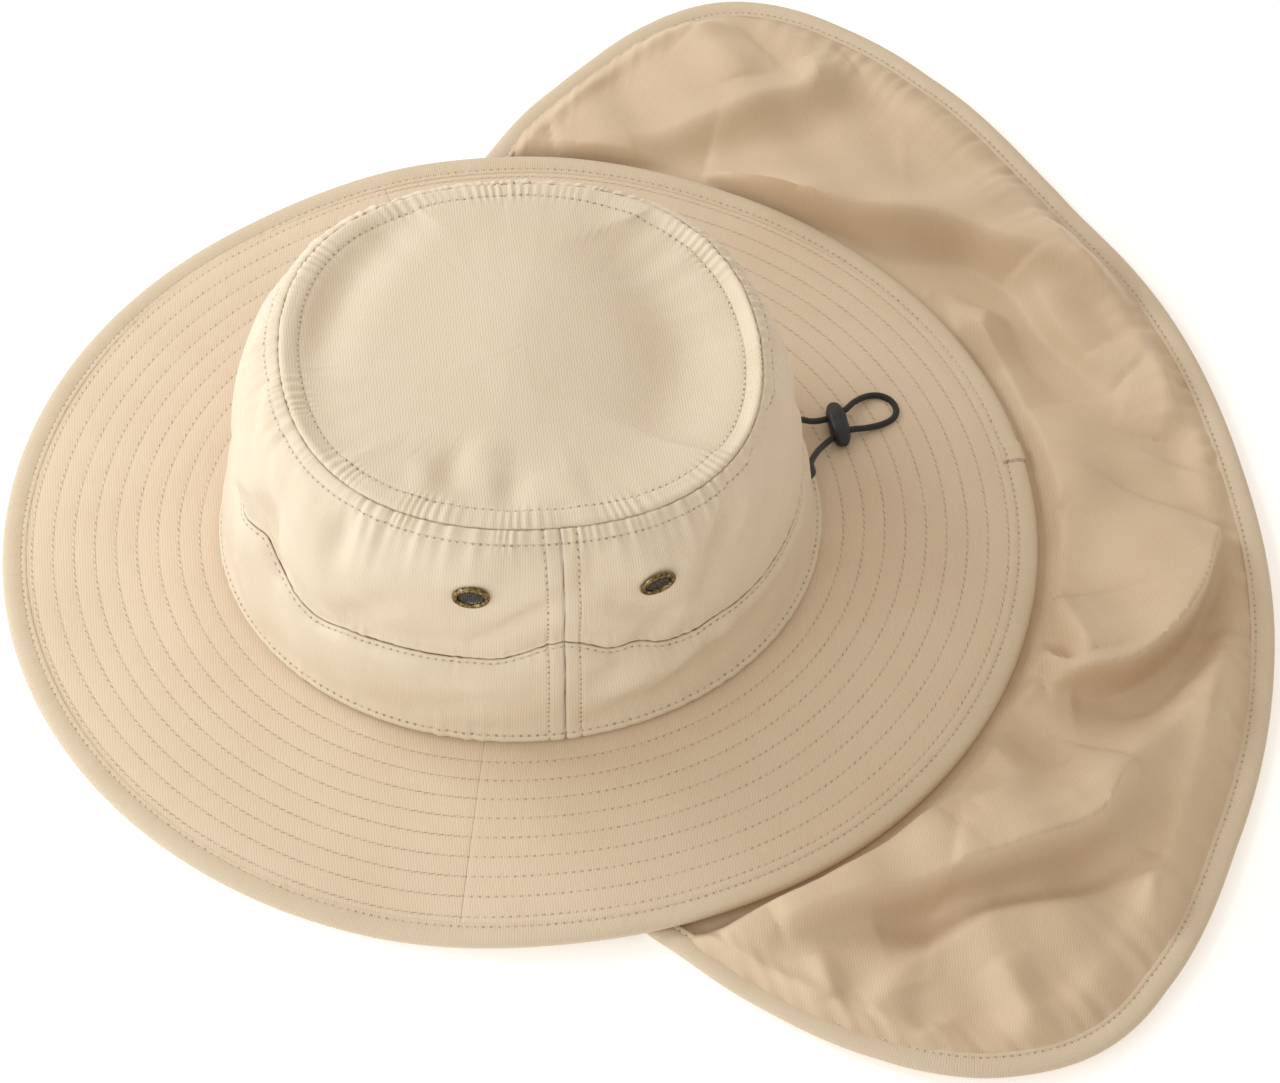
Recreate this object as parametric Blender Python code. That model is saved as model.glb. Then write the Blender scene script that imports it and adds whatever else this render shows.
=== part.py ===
# Flap sun hat lying on its brim, with its neck flap spread out behind it.
# Metres, +Z up. The hat's front is towards -Y, its back and the flap towards +Y.
# Turns are degrees round the crown, from +X (the wearer's left) towards the back.

import math
from collections import namedtuple

import bmesh
import bpy
from mathutils import Matrix, Vector

# Crown sizes
HALF_WIDTH = 0.0898
HALF_LENGTH = 0.1031
BASE_HEIGHT = 0.0076
CROWN_HEIGHT = 0.0956
CROWN_WALL = 0.0015
CROWN_TILT = 0.045
CROWN_LEAN = 0.028
GATHERS = 30
GATHER_DEPTH = 0.0004

# Brim sizes
BRIM_WIDTH = 0.0762
BRIM_THICKNESS = 0.0016

# Flap and edge tape sizes
FLAP_THICKNESS = 0.0012
FLAP_START = 6.5
FLAP_END = 181.5
FOLD_HEIGHT = 0.012
FOLD_WIDTH = 0.014
TAPE_THICKNESS = 0.0010
TAPE_WIDTH = 0.0075

# Eyelet sizes
EYELET_RADIUS = 0.0061
EYELET_BARREL_RADIUS = 0.0045
EYELET_METAL = 0.0007
EYELET_FLANGE_GAP = 0.0006
MESH_THICKNESS = 0.0008

# Cord and cord lock sizes
CORD_DIAMETER = 0.0023
CORD_POINT_SPACING = 0.0036
LOCK_LENGTH = 0.0188
LOCK_WIDTH = 0.0074
LOCK_HEIGHT = 0.0068
LOCK_BORE_SPREAD = 0.0088
LOCK_TURN = 5.0
BORE_SLANT = 20.0

# Running gap between neighbouring pieces
CLEARANCE = 0.0003

# Seam places, in degrees
SIDE_SEAM = 3.0
BRIM_SEAM = -12.0

# Mesh fineness
COLUMNS = 60
FLAP_COLUMNS = 48
FLAP_ROWS_UNDER_BRIM = 4
FLAP_ROWS_OUTSIDE = 8
ROUND_SIDES = 10
SLOPE_STEP = 0.01

# Sections of the crown, from the base seam to the middle of the tip.
# Heights are shares of CROWN_HEIGHT, side shares are of HALF_WIDTH,
# front and back shares are of HALF_LENGTH.
Section = namedtuple("Section", "name height side front back")
SECTIONS = [
    Section("base", 0.000, 1.000, 1.000, 1.000),
    Section("edge ridge", 0.035, 1.010, 1.008, 0.996),
    Section("above ridge", 0.080, 0.999, 0.999, 0.975),
    Section("lower swell", 0.220, 0.996, 0.992, 0.955),
    Section("lower top", 0.350, 0.978, 0.968, 0.940),
    Section("waist seam", 0.410, 0.950, 0.934, 0.918),
    Section("upper foot", 0.480, 0.958, 0.936, 0.914),
    Section("upper swell", 0.640, 0.964, 0.946, 0.904),
    Section("shoulder low", 0.820, 0.945, 0.915, 0.870),
    Section("shoulder", 0.940, 0.895, 0.865, 0.828),
    Section("tip seam", 1.000, 0.830, 0.790, 0.775),
    Section("tip roll", 1.014, 0.785, 0.750, 0.735),
    Section("tip stitch", 1.008, 0.720, 0.690, 0.680),
    Section("dish side", 0.985, 0.520, 0.500, 0.490),
    Section("dish", 0.975, 0.260, 0.250, 0.245),
    Section("dish middle", 0.975, 0.060, 0.060, 0.060),
]
WAIST_ROW = 5
TIP_SEAM_ROW = 10
ROUND_CORNERS = 0.022

# Height of the seam round the waist, as shares of its height in the sections
WaistSeam = namedtuple("WaistSeam", "turn height")
WAIST_SEAM = [
    WaistSeam(-90, 1.02),
    WaistSeam(-72, 1.06),
    WaistSeam(-56, 0.80),
    WaistSeam(-40, 0.90),
    WaistSeam(-15, 1.04),
    WaistSeam(3, 1.24),
    WaistSeam(16, 1.05),
    WaistSeam(30, 0.99),
    WaistSeam(60, 1.02),
    WaistSeam(90, 1.00),
    WaistSeam(120, 1.02),
    WaistSeam(150, 1.00),
    WaistSeam(177, 1.20),
    WaistSeam(196, 1.02),
    WaistSeam(225, 0.92),
    WaistSeam(250, 0.96),
    WaistSeam(270, 1.02),
]

# Soft dents in the crown, each between two places on it.
# Heights, depths and widths are shares of CROWN_HEIGHT; a minus depth stands out.
Dent = namedtuple("Dent", "name turn_a height_a turn_b height_b depth width")
DENTS = [
    Dent("back left hollow above the base", 30, 0.16, 62, 0.24, 0.034, 0.070),
    Dent("slanting fold of the back left", 62, 0.78, 30, 0.56, 0.022, 0.075),
    Dent("shoulder dent of the back left", 55, 0.90, 72, 0.80, 0.026, 0.090),
    Dent("front left upright fold", -58, 0.88, -66, 0.52, 0.022, 0.070),
    Dent("front left swell", -44, 0.60, -30, 0.62, -0.014, 0.130),
    Dent("front left hollow over the seam", -40, 0.45, -12, 0.50, 0.016, 0.060),
    Dent("low dent by the side seam", -34, 0.10, -16, 0.20, 0.014, 0.060),
    Dent("back right hollow", 120, 0.30, 146, 0.62, 0.026, 0.090),
    Dent("front right fold", 214, 0.78, 232, 0.44, 0.024, 0.080),
    Dent("front hollow", 262, 0.62, 286, 0.50, 0.016, 0.090),
    Dent("front right shoulder", 212, 0.94, 256, 0.93, 0.034, 0.110),
]

# Soft hollows of the tip: turn and reach of the middle, depth as a share of
# CROWN_HEIGHT, width as a share of HALF_WIDTH
TipDent = namedtuple("TipDent", "name turn reach depth width")
TIP_DENTS = [
    TipDent("front left hollow", -62, 0.55, 0.020, 0.26),
    TipDent("back left hollow", 46, 0.50, 0.018, 0.26),
    TipDent("right swell", 190, 0.30, -0.012, 0.34),
    TipDent("left swell", -8, 0.52, -0.010, 0.24),
]

# How the brim's edge is carried round its turn, on the flap and on the flap's hem
BrimRest = namedtuple("BrimRest", "turn on_flap on_hem")
BRIM_RESTS = [
    BrimRest(-180, 1.0, 1.0),
    BrimRest(-174, 1.0, 1.0),
    BrimRest(-146, 0.0, 0.0),
    BrimRest(-24, 0.0, 0.0),
    BrimRest(3, 1.0, 1.0),
    BrimRest(15, 1.0, 1.0),
    BrimRest(40, 1.0, 0.0),
    BrimRest(146, 1.0, 0.0),
    BrimRest(172, 1.0, 1.0),
    BrimRest(180, 1.0, 1.0),
]

# Outline of the flap's hem, as shares of the brim's radius on that turn
Hem = namedtuple("Hem", "turn reach")
HEM = [
    Hem(6.5, 0.940),
    Hem(9.0, 1.000),
    Hem(16.0, 1.192),
    Hem(23.0, 1.395),
    Hem(29.0, 1.532),
    Hem(36.0, 1.609),
    Hem(43.0, 1.603),
    Hem(56.0, 1.533),
    Hem(72.0, 1.473),
    Hem(90.0, 1.424),
    Hem(112.0, 1.420),
    Hem(122.0, 1.433),
    Hem(138.0, 1.513),
    Hem(147.0, 1.558),
    Hem(153.0, 1.567),
    Hem(158.0, 1.532),
    Hem(163.0, 1.434),
    Hem(169.0, 1.272),
    Hem(174.0, 1.150),
    Hem(179.0, 1.022),
    Hem(181.5, 0.940),
]

# Height of the flap under the brim, as shares of its height at the crown,
# at shares of the brim's width
FlapDrop = namedtuple("FlapDrop", "reach height")
FLAP_DROP = [
    FlapDrop(0.00, 1.00),
    FlapDrop(0.22, 0.48),
    FlapDrop(0.45, 0.12),
    FlapDrop(0.70, 0.00),
    FlapDrop(9.00, 0.00),
]

# Folds of the flap that stand up from the floor, each along three places.
# Reach runs from 0 at the brim's edge to 1 at the hem; height and width are
# shares of FOLD_HEIGHT and FOLD_WIDTH.
Fold = namedtuple("Fold", "name turn_a reach_a turn_b reach_b turn_c reach_c height width")
FOLDS = [
    Fold("right ridge by the brim", 168, 0.12, 154, 0.32, 145, 0.66, 0.90, 1.1),
    Fold("long back ridge", 150, 0.10, 131, 0.28, 109, 0.92, 1.00, 1.0),
    Fold("short back ridge", 114, 0.30, 108, 0.46, 100, 0.66, 0.65, 0.9),
    Fold("back ripple by the brim", 95, 0.22, 88, 0.14, 80, 0.20, 0.40, 0.8),
    Fold("sweeping left ridge", 62, 0.12, 69, 0.38, 82, 0.86, 1.00, 1.0),
    Fold("left soft ridge", 44, 0.20, 53, 0.44, 67, 0.76, 0.60, 1.1),
    Fold("left lower ridge", 36, 0.50, 46, 0.66, 57, 0.80, 0.75, 1.1),
    Fold("corner ridge", 24, 0.50, 31, 0.44, 38, 0.44, 0.50, 1.0),
    Fold("left ripple by the brim", 57, 0.14, 55, 0.24, 53, 0.36, 0.30, 0.8),
    Fold("right corner swell", 161, 0.40, 157, 0.56, 152, 0.74, 0.40, 1.3),
]

# Eyelets: turn, and row between the sections
Eyelet = namedtuple("Eyelet", "name turn row")
EYELETS = [
    Eyelet("left_front", -15.2, 7.72),
    Eyelet("left_back", 22.5, 7.70),
    Eyelet("right_front", 195.2, 7.72),
    Eyelet("right_back", 157.5, 7.70),
]

# Cord exits on the back of the crown, and the lock's middle on the brim
CordExit = namedtuple("CordExit", "turn row")
CORD_EXIT_A = CordExit(90.0, 2.6)
CORD_EXIT_B = CordExit(107.0, 2.3)
CORD_EXIT_GAP = 0.0016
LOCK_X = -0.0286
LOCK_Y = 0.1144

# The cord's route in the lock's frame: along its short axis, along its long
# axis, and above its bores. The legs run from the crown to the lock, and the
# loop from the end of bore a to the end of bore b.
Route = namedtuple("Route", "along across height")
CORD_LEG_A = [
    Route(-0.0151, -0.0202, 0.0080),
    Route(-0.0112, -0.0136, 0.0044),
    Route(-0.0077, -0.0092, 0.0015),
]
CORD_LEG_B = [
    Route(-0.0138, 0.0002, 0.0060),
    Route(-0.0090, 0.0017, 0.0018),
]
CORD_LOOP = [
    Route(0.0100, -0.0022, -0.0015),
    Route(0.0160, -0.0010, -0.0024),
    Route(0.0206, 0.0013, -0.0030),
    Route(0.0226, 0.0051, -0.0033),
    Route(0.0214, 0.0094, -0.0032),
    Route(0.0177, 0.0119, -0.0028),
    Route(0.0129, 0.0117, -0.0021),
    Route(0.0080, 0.0094, -0.0012),
]

# Colours, roughness and metallic value of each material
Finish = namedtuple("Finish", "colour roughness metallic")
FINISHES = {
    "crown_cloth": Finish((0.80, 0.70, 0.54), 0.62, 0.0),
    "brim_cloth": Finish((0.74, 0.61, 0.45), 0.66, 0.0),
    "flap_cloth": Finish((0.76, 0.63, 0.47), 0.60, 0.0),
    "edge_tape": Finish((0.68, 0.55, 0.40), 0.72, 0.0),
    "antique_brass": Finish((0.27, 0.20, 0.09), 0.38, 1.0),
    "dark_mesh": Finish((0.09, 0.08, 0.08), 0.55, 0.6),
    "black_elastic": Finish((0.015, 0.015, 0.017), 0.60, 0.0),
    "black_plastic": Finish((0.018, 0.018, 0.020), 0.35, 0.0),
}

# Sizes worked out from the driving ones
TIP_TOP_ROW = len(SECTIONS) - 1
TAPE_STEP = TAPE_THICKNESS + CLEARANCE
FLAP_HEM_LIFT = TAPE_STEP
HEM_TAPE_HEIGHT = 2 * TAPE_STEP + FLAP_THICKNESS
LIFT_ON_FLAP = FLAP_THICKNESS + CLEARANCE
LIFT_ON_HEM = HEM_TAPE_HEIGHT - FLAP_THICKNESS
FLAP_TOP_HEIGHT = BASE_HEIGHT - BRIM_THICKNESS - CLEARANCE - FLAP_THICKNESS
CORD_RADIUS = CORD_DIAMETER / 2


def ease(share):
    """Smooth step from 0 to 1."""
    share = min(1.0, max(0.0, share))
    return share * share * (3 - 2 * share)


def turn_gap(turn_a, turn_b):
    """Signed difference between two turns, in degrees within half a turn."""
    return (turn_a - turn_b + 180.0) % 360.0 - 180.0


def eased_between(rows, turn, column):
    """Value of a column of a table of turns, eased between its rows."""
    span = rows[-1].turn - rows[0].turn
    if span >= 359:
        turn = (turn - rows[0].turn) % 360.0 + rows[0].turn
    for low, high in zip(rows, rows[1:]):
        if turn <= high.turn:
            share = ease((turn - low.turn) / (high.turn - low.turn))
            return getattr(low, column) * (1 - share) + getattr(high, column) * share
    return getattr(rows[-1], column)


def smooth_through(values, position):
    """Catmull-Rom value at a position along evenly numbered values."""
    index = min(len(values) - 2, max(0, int(math.floor(position))))
    share = position - index
    before = values[max(0, index - 1)]
    start = values[index]
    end = values[index + 1]
    after = values[min(len(values) - 1, index + 2)]
    slope_start = (end - before) / 2
    slope_end = (after - start) / 2
    square = share * share
    cube = square * share
    return (start * (2 * cube - 3 * square + 1) + slope_start * (cube - 2 * square + share)
            + end * (3 * square - 2 * cube) + slope_end * (cube - square))


def smooth_at(rows, turn, column):
    """Catmull-Rom value of a column of a table whose turns are uneven."""
    index = 0
    while index < len(rows) - 2 and turn > rows[index + 1].turn:
        index += 1
    share = (turn - rows[index].turn) / (rows[index + 1].turn - rows[index].turn)
    return smooth_through([getattr(row, column) for row in rows], index + min(1.0, max(0.0, share)))


def segment_distance(point, start, end):
    """Distance from a point to a straight stretch, and the share along it."""
    along = end - start
    share = min(1.0, max(0.0, (point - start).dot(along) / max(along.length_squared, 1e-12)))
    return (point - start - along * share).length, share


# Crown

HEIGHTS = [section.height for section in SECTIONS]
SIDES = [section.side for section in SECTIONS]
FRONTS = [section.front for section in SECTIONS]
BACKS = [section.back for section in SECTIONS]


def waist_share(height, turn):
    """Height share moved with the wavy seam round the waist."""
    waist = SECTIONS[WAIST_ROW].height
    seam = waist * eased_between(WAIST_SEAM, turn, "height")
    if height < waist:
        return height * (1 + (seam / waist - 1) * ease(height / waist))
    above = (height - waist) / (1 - waist)
    return height + (seam - waist) * (1 - ease(above))


def crown_dent(turn, height):
    """Inward depth of the soft dents at a place on the crown's side."""
    depth = 0.0
    degree = math.radians(HALF_LENGTH) / CROWN_HEIGHT
    for dent in DENTS:
        start = Vector((0.0, dent.height_a))
        end = Vector((turn_gap(dent.turn_b, dent.turn_a) * degree, dent.height_b))
        place = Vector((turn_gap(turn, dent.turn_a) * degree, height))
        distance, share = segment_distance(place, start, end)
        strength = 1 - 0.5 * abs(2 * share - 1)
        depth += dent.depth * strength * math.exp(-(distance / dent.width) ** 2)
    return depth * CROWN_HEIGHT


def tip_dent(x, y):
    """Downward depth of the soft hollows of the tip."""
    depth = 0.0
    for dent in TIP_DENTS:
        angle = math.radians(dent.turn)
        middle = Vector((math.cos(angle), math.sin(angle))) * dent.reach * HALF_WIDTH
        distance = (Vector((x, y)) - middle).length
        depth += dent.depth * math.exp(-(distance / (dent.width * HALF_WIDTH)) ** 2)
    return depth * CROWN_HEIGHT


def crown_point(turn, row):
    """Place on the outside of the crown, for a turn and a row of the sections."""
    angle = math.radians(turn)
    height = smooth_through(HEIGHTS, row)
    side = smooth_through(SIDES, row) * HALF_WIDTH
    ends = FRONTS if math.sin(angle) < 0 else BACKS
    end = smooth_through(ends, row) * HALF_LENGTH
    upper = min(1.0, height)
    corners = 1 - ROUND_CORNERS * upper * math.cos(4 * angle)
    on_wall = ease((row - 1) / 2) * ease(TIP_SEAM_ROW - row)
    seam_closeness = math.exp(-((row - TIP_SEAM_ROW) / 0.55) ** 2)
    gathers = GATHER_DEPTH * math.sin(GATHERS * angle) * seam_closeness
    inward = crown_dent(turn, waist_share(height, turn)) * on_wall + gathers
    x = (side * corners - inward) * math.cos(angle)
    y = (end * corners - inward) * math.sin(angle)
    z = BASE_HEIGHT + CLEARANCE + waist_share(height, turn) * CROWN_HEIGHT
    z += (CROWN_LEAN * x - CROWN_TILT * y) * upper
    if row > TIP_SEAM_ROW:
        z -= tip_dent(x, y) * ease((row - TIP_SEAM_ROW) / 2)
    return Vector((x, y, z))


def crown_normal(turn, row):
    """Outward direction of the crown's surface; level at the base seam."""
    low = max(0.0, row - SLOPE_STEP)
    high = min(float(TIP_TOP_ROW), row + SLOPE_STEP)
    around = crown_point(turn + 0.2, row) - crown_point(turn - 0.2, row)
    up = crown_point(turn, high) - crown_point(turn, low)
    normal = around.cross(up).normalized()
    level = Vector((normal.x, normal.y, 0.0)).normalized()
    share = ease(row)
    return (level * (1 - share) + normal * share).normalized()


def row_share(turn, row, length):
    """Part of a row that is as long as the given length on the surface."""
    step = (crown_point(turn, row + SLOPE_STEP) - crown_point(turn, row - SLOPE_STEP)).length
    return length * 2 * SLOPE_STEP / step


# Mesh helpers

def new_object(name, mesh_data, material, smooth_angle=35.0):
    """Object from a bmesh, with its own material and smooth shading."""
    mesh = bpy.data.meshes.new(name)
    mesh_data.to_mesh(mesh)
    mesh_data.free()
    mesh.shade_smooth()
    mesh.set_sharp_from_angle(angle=math.radians(smooth_angle))
    thing = bpy.data.objects.new(name, mesh)
    bpy.context.scene.collection.objects.link(thing)
    thing.data.materials.append(material_for(name, material))
    return thing


def material_for(name, finish_name):
    """Principled material of a piece."""
    finish = FINISHES[finish_name]
    material = bpy.data.materials.new(name + "_" + finish_name)
    material.use_nodes = True
    shader = material.node_tree.nodes["Principled BSDF"]
    shader.inputs["Base Color"].default_value = (*finish.colour, 1.0)
    shader.inputs["Roughness"].default_value = finish.roughness
    shader.inputs["Metallic"].default_value = finish.metallic
    material.diffuse_color = (*finish.colour, 1.0)
    return material


def grid_faces(data, grid, closed, flip):
    """Faces between the rows of a grid of vertices."""
    for low, high in zip(grid, grid[1:]):
        count = len(low)
        for index in range(count if closed else count - 1):
            follow = (index + 1) % count
            corners = [low[index], low[follow], high[follow], high[index]]
            data.faces.new(corners[::-1] if flip else corners)


def wall_solid(outer, inner, closed, cap_last=False):
    """Closed solid between an outer and an inner grid of points.

    Rows run from the first rim to the last one. A capped wall has a fan on its
    last row instead of a rim.
    """
    data = bmesh.new()
    outer_grid = [[data.verts.new(point) for point in row] for row in outer]
    inner_grid = [[data.verts.new(point) for point in row] for row in inner]
    grid_faces(data, outer_grid, closed, flip=False)
    grid_faces(data, inner_grid, closed, flip=True)
    grid_faces(data, [inner_grid[0], outer_grid[0]], closed, flip=False)
    if cap_last:
        for grid, flip in ((outer_grid, False), (inner_grid, True)):
            ring = grid[-1]
            data.faces.new(ring[::-1] if flip else ring)
    else:
        grid_faces(data, [outer_grid[-1], inner_grid[-1]], closed, flip=False)
    if not closed:
        first = [[row[0] for row in inner_grid], [row[0] for row in outer_grid]]
        last = [[row[-1] for row in outer_grid], [row[-1] for row in inner_grid]]
        grid_faces(data, first, closed=False, flip=True)
        grid_faces(data, last, closed=False, flip=True)
    bmesh.ops.recalc_face_normals(data, faces=data.faces)
    return data


def swept_solid(stations, closed):
    """Closed solid through rings of points, one ring for each station."""
    data = bmesh.new()
    rings = [[data.verts.new(point) for point in ring] for ring in stations]
    if closed:
        rings.append(rings[0])
    grid_faces(data, rings, closed=True, flip=False)
    if not closed:
        data.faces.new(rings[0][::-1])
        data.faces.new(rings[-1])
    bmesh.ops.recalc_face_normals(data, faces=data.faces)
    return data


def spread(start, end, count):
    """Evenly spaced values from start to end."""
    return [start + (end - start) * step / count for step in range(count + 1)]


def panel_turns(start, end, radius, gap=CLEARANCE):
    """Turns of a sewn panel, trimmed by half the gap at each end."""
    count = max(2, round((end - start) / 360 * COLUMNS))
    turns = spread(start, end, count)
    trim = math.degrees(gap / 2 / radius)
    turns[0] += trim
    turns[-1] -= trim
    return turns


# Crown pieces

def crown_panel(name, start, end, rows_at):
    """Panel of the crown's side between two seams."""
    outer = []
    inner = []
    turns = panel_turns(start, end, HALF_WIDTH)
    row_lists = [rows_at(turn) for turn in turns]
    for level in range(len(row_lists[0])):
        outer_row = []
        inner_row = []
        for turn, rows in zip(turns, row_lists):
            point = crown_point(turn, rows[level])
            outer_row.append(point)
            inner_row.append(point - crown_normal(turn, rows[level]) * CROWN_WALL)
        outer.append(outer_row)
        inner.append(inner_row)
    return new_object(name, wall_solid(outer, inner, closed=False), "crown_cloth")


def lower_rows(turn):
    """Rows of the lower band, from the base seam to the waist seam."""
    top = WAIST_ROW - row_share(turn, WAIST_ROW, CLEARANCE / 2)
    return [0.0, 1.0, 2.0, 3.0, 4.0, top]


def upper_rows(turn):
    """Rows of the upper band, from the waist seam to the tip seam."""
    foot = WAIST_ROW + row_share(turn, WAIST_ROW, CLEARANCE / 2)
    top = TIP_SEAM_ROW - row_share(turn, TIP_SEAM_ROW, CLEARANCE / 2)
    return [foot, 6.0, 7.0, 8.0, 9.0, top]


def ring_turns():
    """Turns of the crown's round rows, matched to the side panels."""
    front = spread(-180 - SIDE_SEAM, SIDE_SEAM, round((180 + 2 * SIDE_SEAM) / 360 * COLUMNS))
    back = spread(SIDE_SEAM, 180 - SIDE_SEAM, round((180 - 2 * SIDE_SEAM) / 360 * COLUMNS))
    return front + back[1:-1]


def make_crown_tip():
    """Round top of the crown, inside the tip seam."""
    turns = ring_turns()
    outer = []
    inner = []
    rows = [None, 11.0, 12.0, 13.0, 15.0]
    for row in rows:
        outer_row = []
        inner_row = []
        for turn in turns:
            place = row
            if row is None:
                place = TIP_SEAM_ROW + row_share(turn, TIP_SEAM_ROW, CLEARANCE / 2)
            point = crown_point(turn, place)
            outer_row.append(point)
            inner_row.append(point - crown_normal(turn, min(place, TIP_TOP_ROW - 1)) * CROWN_WALL)
        outer.append(outer_row)
        inner.append(inner_row)
    data = wall_solid(outer, inner, closed=True, cap_last=True)
    return new_object("crown_tip", data, "crown_cloth")


def make_crown():
    """Tip, and front and back panels of the upper and lower bands."""
    spans = {"front": (-180 - SIDE_SEAM, SIDE_SEAM), "back": (SIDE_SEAM, 180 - SIDE_SEAM)}
    pieces = [make_crown_tip()]
    for side, (start, end) in spans.items():
        pieces.append(crown_panel("crown_upper_" + side, start, end, upper_rows))
        pieces.append(crown_panel("crown_lower_" + side, start, end, lower_rows))
    return pieces


# Brim pieces

def brim_place(turn, reach):
    """Plan place on the brim, from 0 at the crown to 1 at its edge."""
    angle = math.radians(turn)
    width = BRIM_WIDTH * reach
    return Vector(((HALF_WIDTH + width) * math.cos(angle), (HALF_LENGTH + width) * math.sin(angle)))


def brim_lift(turn):
    """Height of the underside of the brim's edge tape above the floor."""
    place = brim_place(turn, 1.0)
    polar = math.degrees(math.atan2(place.y, place.x))
    on_flap = eased_between(BRIM_RESTS, polar, "on_flap")
    on_hem = eased_between(BRIM_RESTS, polar, "on_hem")
    return on_flap * LIFT_ON_FLAP + on_hem * LIFT_ON_HEM


def brim_top(turn, reach):
    """Height of the brim's upper side. It is level under the edge tape."""
    level_from = 1 - (TAPE_WIDTH + 2 * TAPE_STEP) / BRIM_WIDTH
    edge = brim_lift(turn) + TAPE_STEP + BRIM_THICKNESS
    share = min(1.0, max(0.0, reach / level_from))
    return BASE_HEIGHT * (1 - share) + edge * share


def make_brim_panel(name, start, end):
    """Stitched half of the brim between its two seams."""
    level_from = 1 - (TAPE_WIDTH + 2 * TAPE_STEP) / BRIM_WIDTH
    reaches = [-CROWN_WALL / BRIM_WIDTH, 0.0, 0.5 * level_from, level_from, 1 - TAPE_STEP / BRIM_WIDTH]
    turns = panel_turns(start, end, HALF_WIDTH)
    upper = []
    lower = []
    for reach in reaches[::-1]:
        tops = []
        bottoms = []
        for turn in turns:
            place = brim_place(turn, reach)
            height = brim_top(turn, reach)
            tops.append(Vector((place.x, place.y, height)))
            bottoms.append(Vector((place.x, place.y, height - BRIM_THICKNESS)))
        upper.append(tops)
        lower.append(bottoms)
    return new_object(name, wall_solid(upper, lower, closed=False), "brim_cloth")


def tape_ring(place, inward, height, sheet):
    """Cross-section of an edge tape folded round the edge of a sheet.

    place is the sheet's edge in plan, inward its direction into the sheet and
    height the middle of the sheet.
    """
    half = sheet / 2 + CLEARANCE
    outer = half + TAPE_THICKNESS
    nose = -(CLEARANCE + TAPE_THICKNESS)
    outline = [
        (TAPE_WIDTH, -outer), (0.0, -outer), (nose, -half), (nose, half), (0.0, outer), (TAPE_WIDTH, outer),
        (TAPE_WIDTH, half), (-CLEARANCE, half), (-CLEARANCE, -half), (TAPE_WIDTH, -half),
    ]
    return [Vector((place.x + inward.x * along, place.y + inward.y * along, height + rise))
            for along, rise in outline]


def inward_at(before, after):
    """Plan direction into the sheet, for an edge that runs with the turns."""
    run = (after - before).normalized()
    return Vector((-run.y, run.x))


def make_brim_tape():
    """Edge tape round the whole brim."""
    reach = 1 - TAPE_STEP / BRIM_WIDTH
    stations = []
    turns = spread(-180.0, 180.0, COLUMNS)[:-1]
    for turn in turns:
        place = brim_place(turn, reach)
        inward = inward_at(brim_place(turn - 1, reach), brim_place(turn + 1, reach))
        middle = brim_top(turn, reach) - BRIM_THICKNESS / 2
        stations.append(tape_ring(place, inward, middle, BRIM_THICKNESS))
    return new_object("brim_edge_tape", swept_solid(stations, closed=True), "edge_tape", 50.0)


def make_brim():
    """Two stitched brim panels and the tape on their edge."""
    return [
        make_brim_panel("brim_front", -180 - BRIM_SEAM, BRIM_SEAM),
        make_brim_panel("brim_back", BRIM_SEAM, 180 - BRIM_SEAM),
        make_brim_tape(),
    ]


# Flap pieces

def ellipse_radius(half_width, half_length, turn):
    """Radius of an ellipse in a plan direction."""
    angle = math.radians(turn)
    return 1 / math.hypot(math.cos(angle) / half_width, math.sin(angle) / half_length)


def brim_radius(turn):
    """Radius of the brim's edge in a plan direction."""
    return ellipse_radius(HALF_WIDTH + BRIM_WIDTH, HALF_LENGTH + BRIM_WIDTH, turn)


def crown_radius(turn):
    """Radius of the crown's base in a plan direction."""
    return ellipse_radius(HALF_WIDTH, HALF_LENGTH, turn)


def hem_radius(turn):
    """Radius of the flap's cloth edge in a plan direction."""
    return brim_radius(turn) * smooth_at(HEM, turn, "reach") - TAPE_STEP


def plan(turn, radius):
    """Plan place for a turn and a radius."""
    angle = math.radians(turn)
    return Vector((radius * math.cos(angle), radius * math.sin(angle)))


def fold_place(turn, reach):
    """Plan place of a fold's point, between the brim's edge and the hem."""
    edge = brim_radius(turn)
    return plan(turn, edge + (hem_radius(turn) - edge) * reach)


FOLD_ROUTES = [
    (fold, [fold_place(fold.turn_a, fold.reach_a), fold_place(fold.turn_b, fold.reach_b),
            fold_place(fold.turn_c, fold.reach_c)])
    for fold in FOLDS
]


def fold_height(place):
    """Height of the flap's folds at a plan place."""
    height = 0.0
    for fold, route in FOLD_ROUTES:
        first = segment_distance(place, route[0], route[1])
        second = segment_distance(place, route[1], route[2])
        distance, share = min((first[0], first[1] / 2), (second[0], 0.5 + second[1] / 2))
        strength = 0.35 + 0.65 * math.sin(math.pi * share)
        width = fold.width * FOLD_WIDTH
        height += fold.height * FOLD_HEIGHT * strength * math.exp(-(distance / width) ** 2)
    return height


def drop_share(reach):
    """Height share of the flap under the brim."""
    for low, high in zip(FLAP_DROP, FLAP_DROP[1:]):
        if reach <= high.reach:
            share = (reach - low.reach) / (high.reach - low.reach)
            return low.height * (1 - share) + high.height * share
    return 0.0


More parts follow.
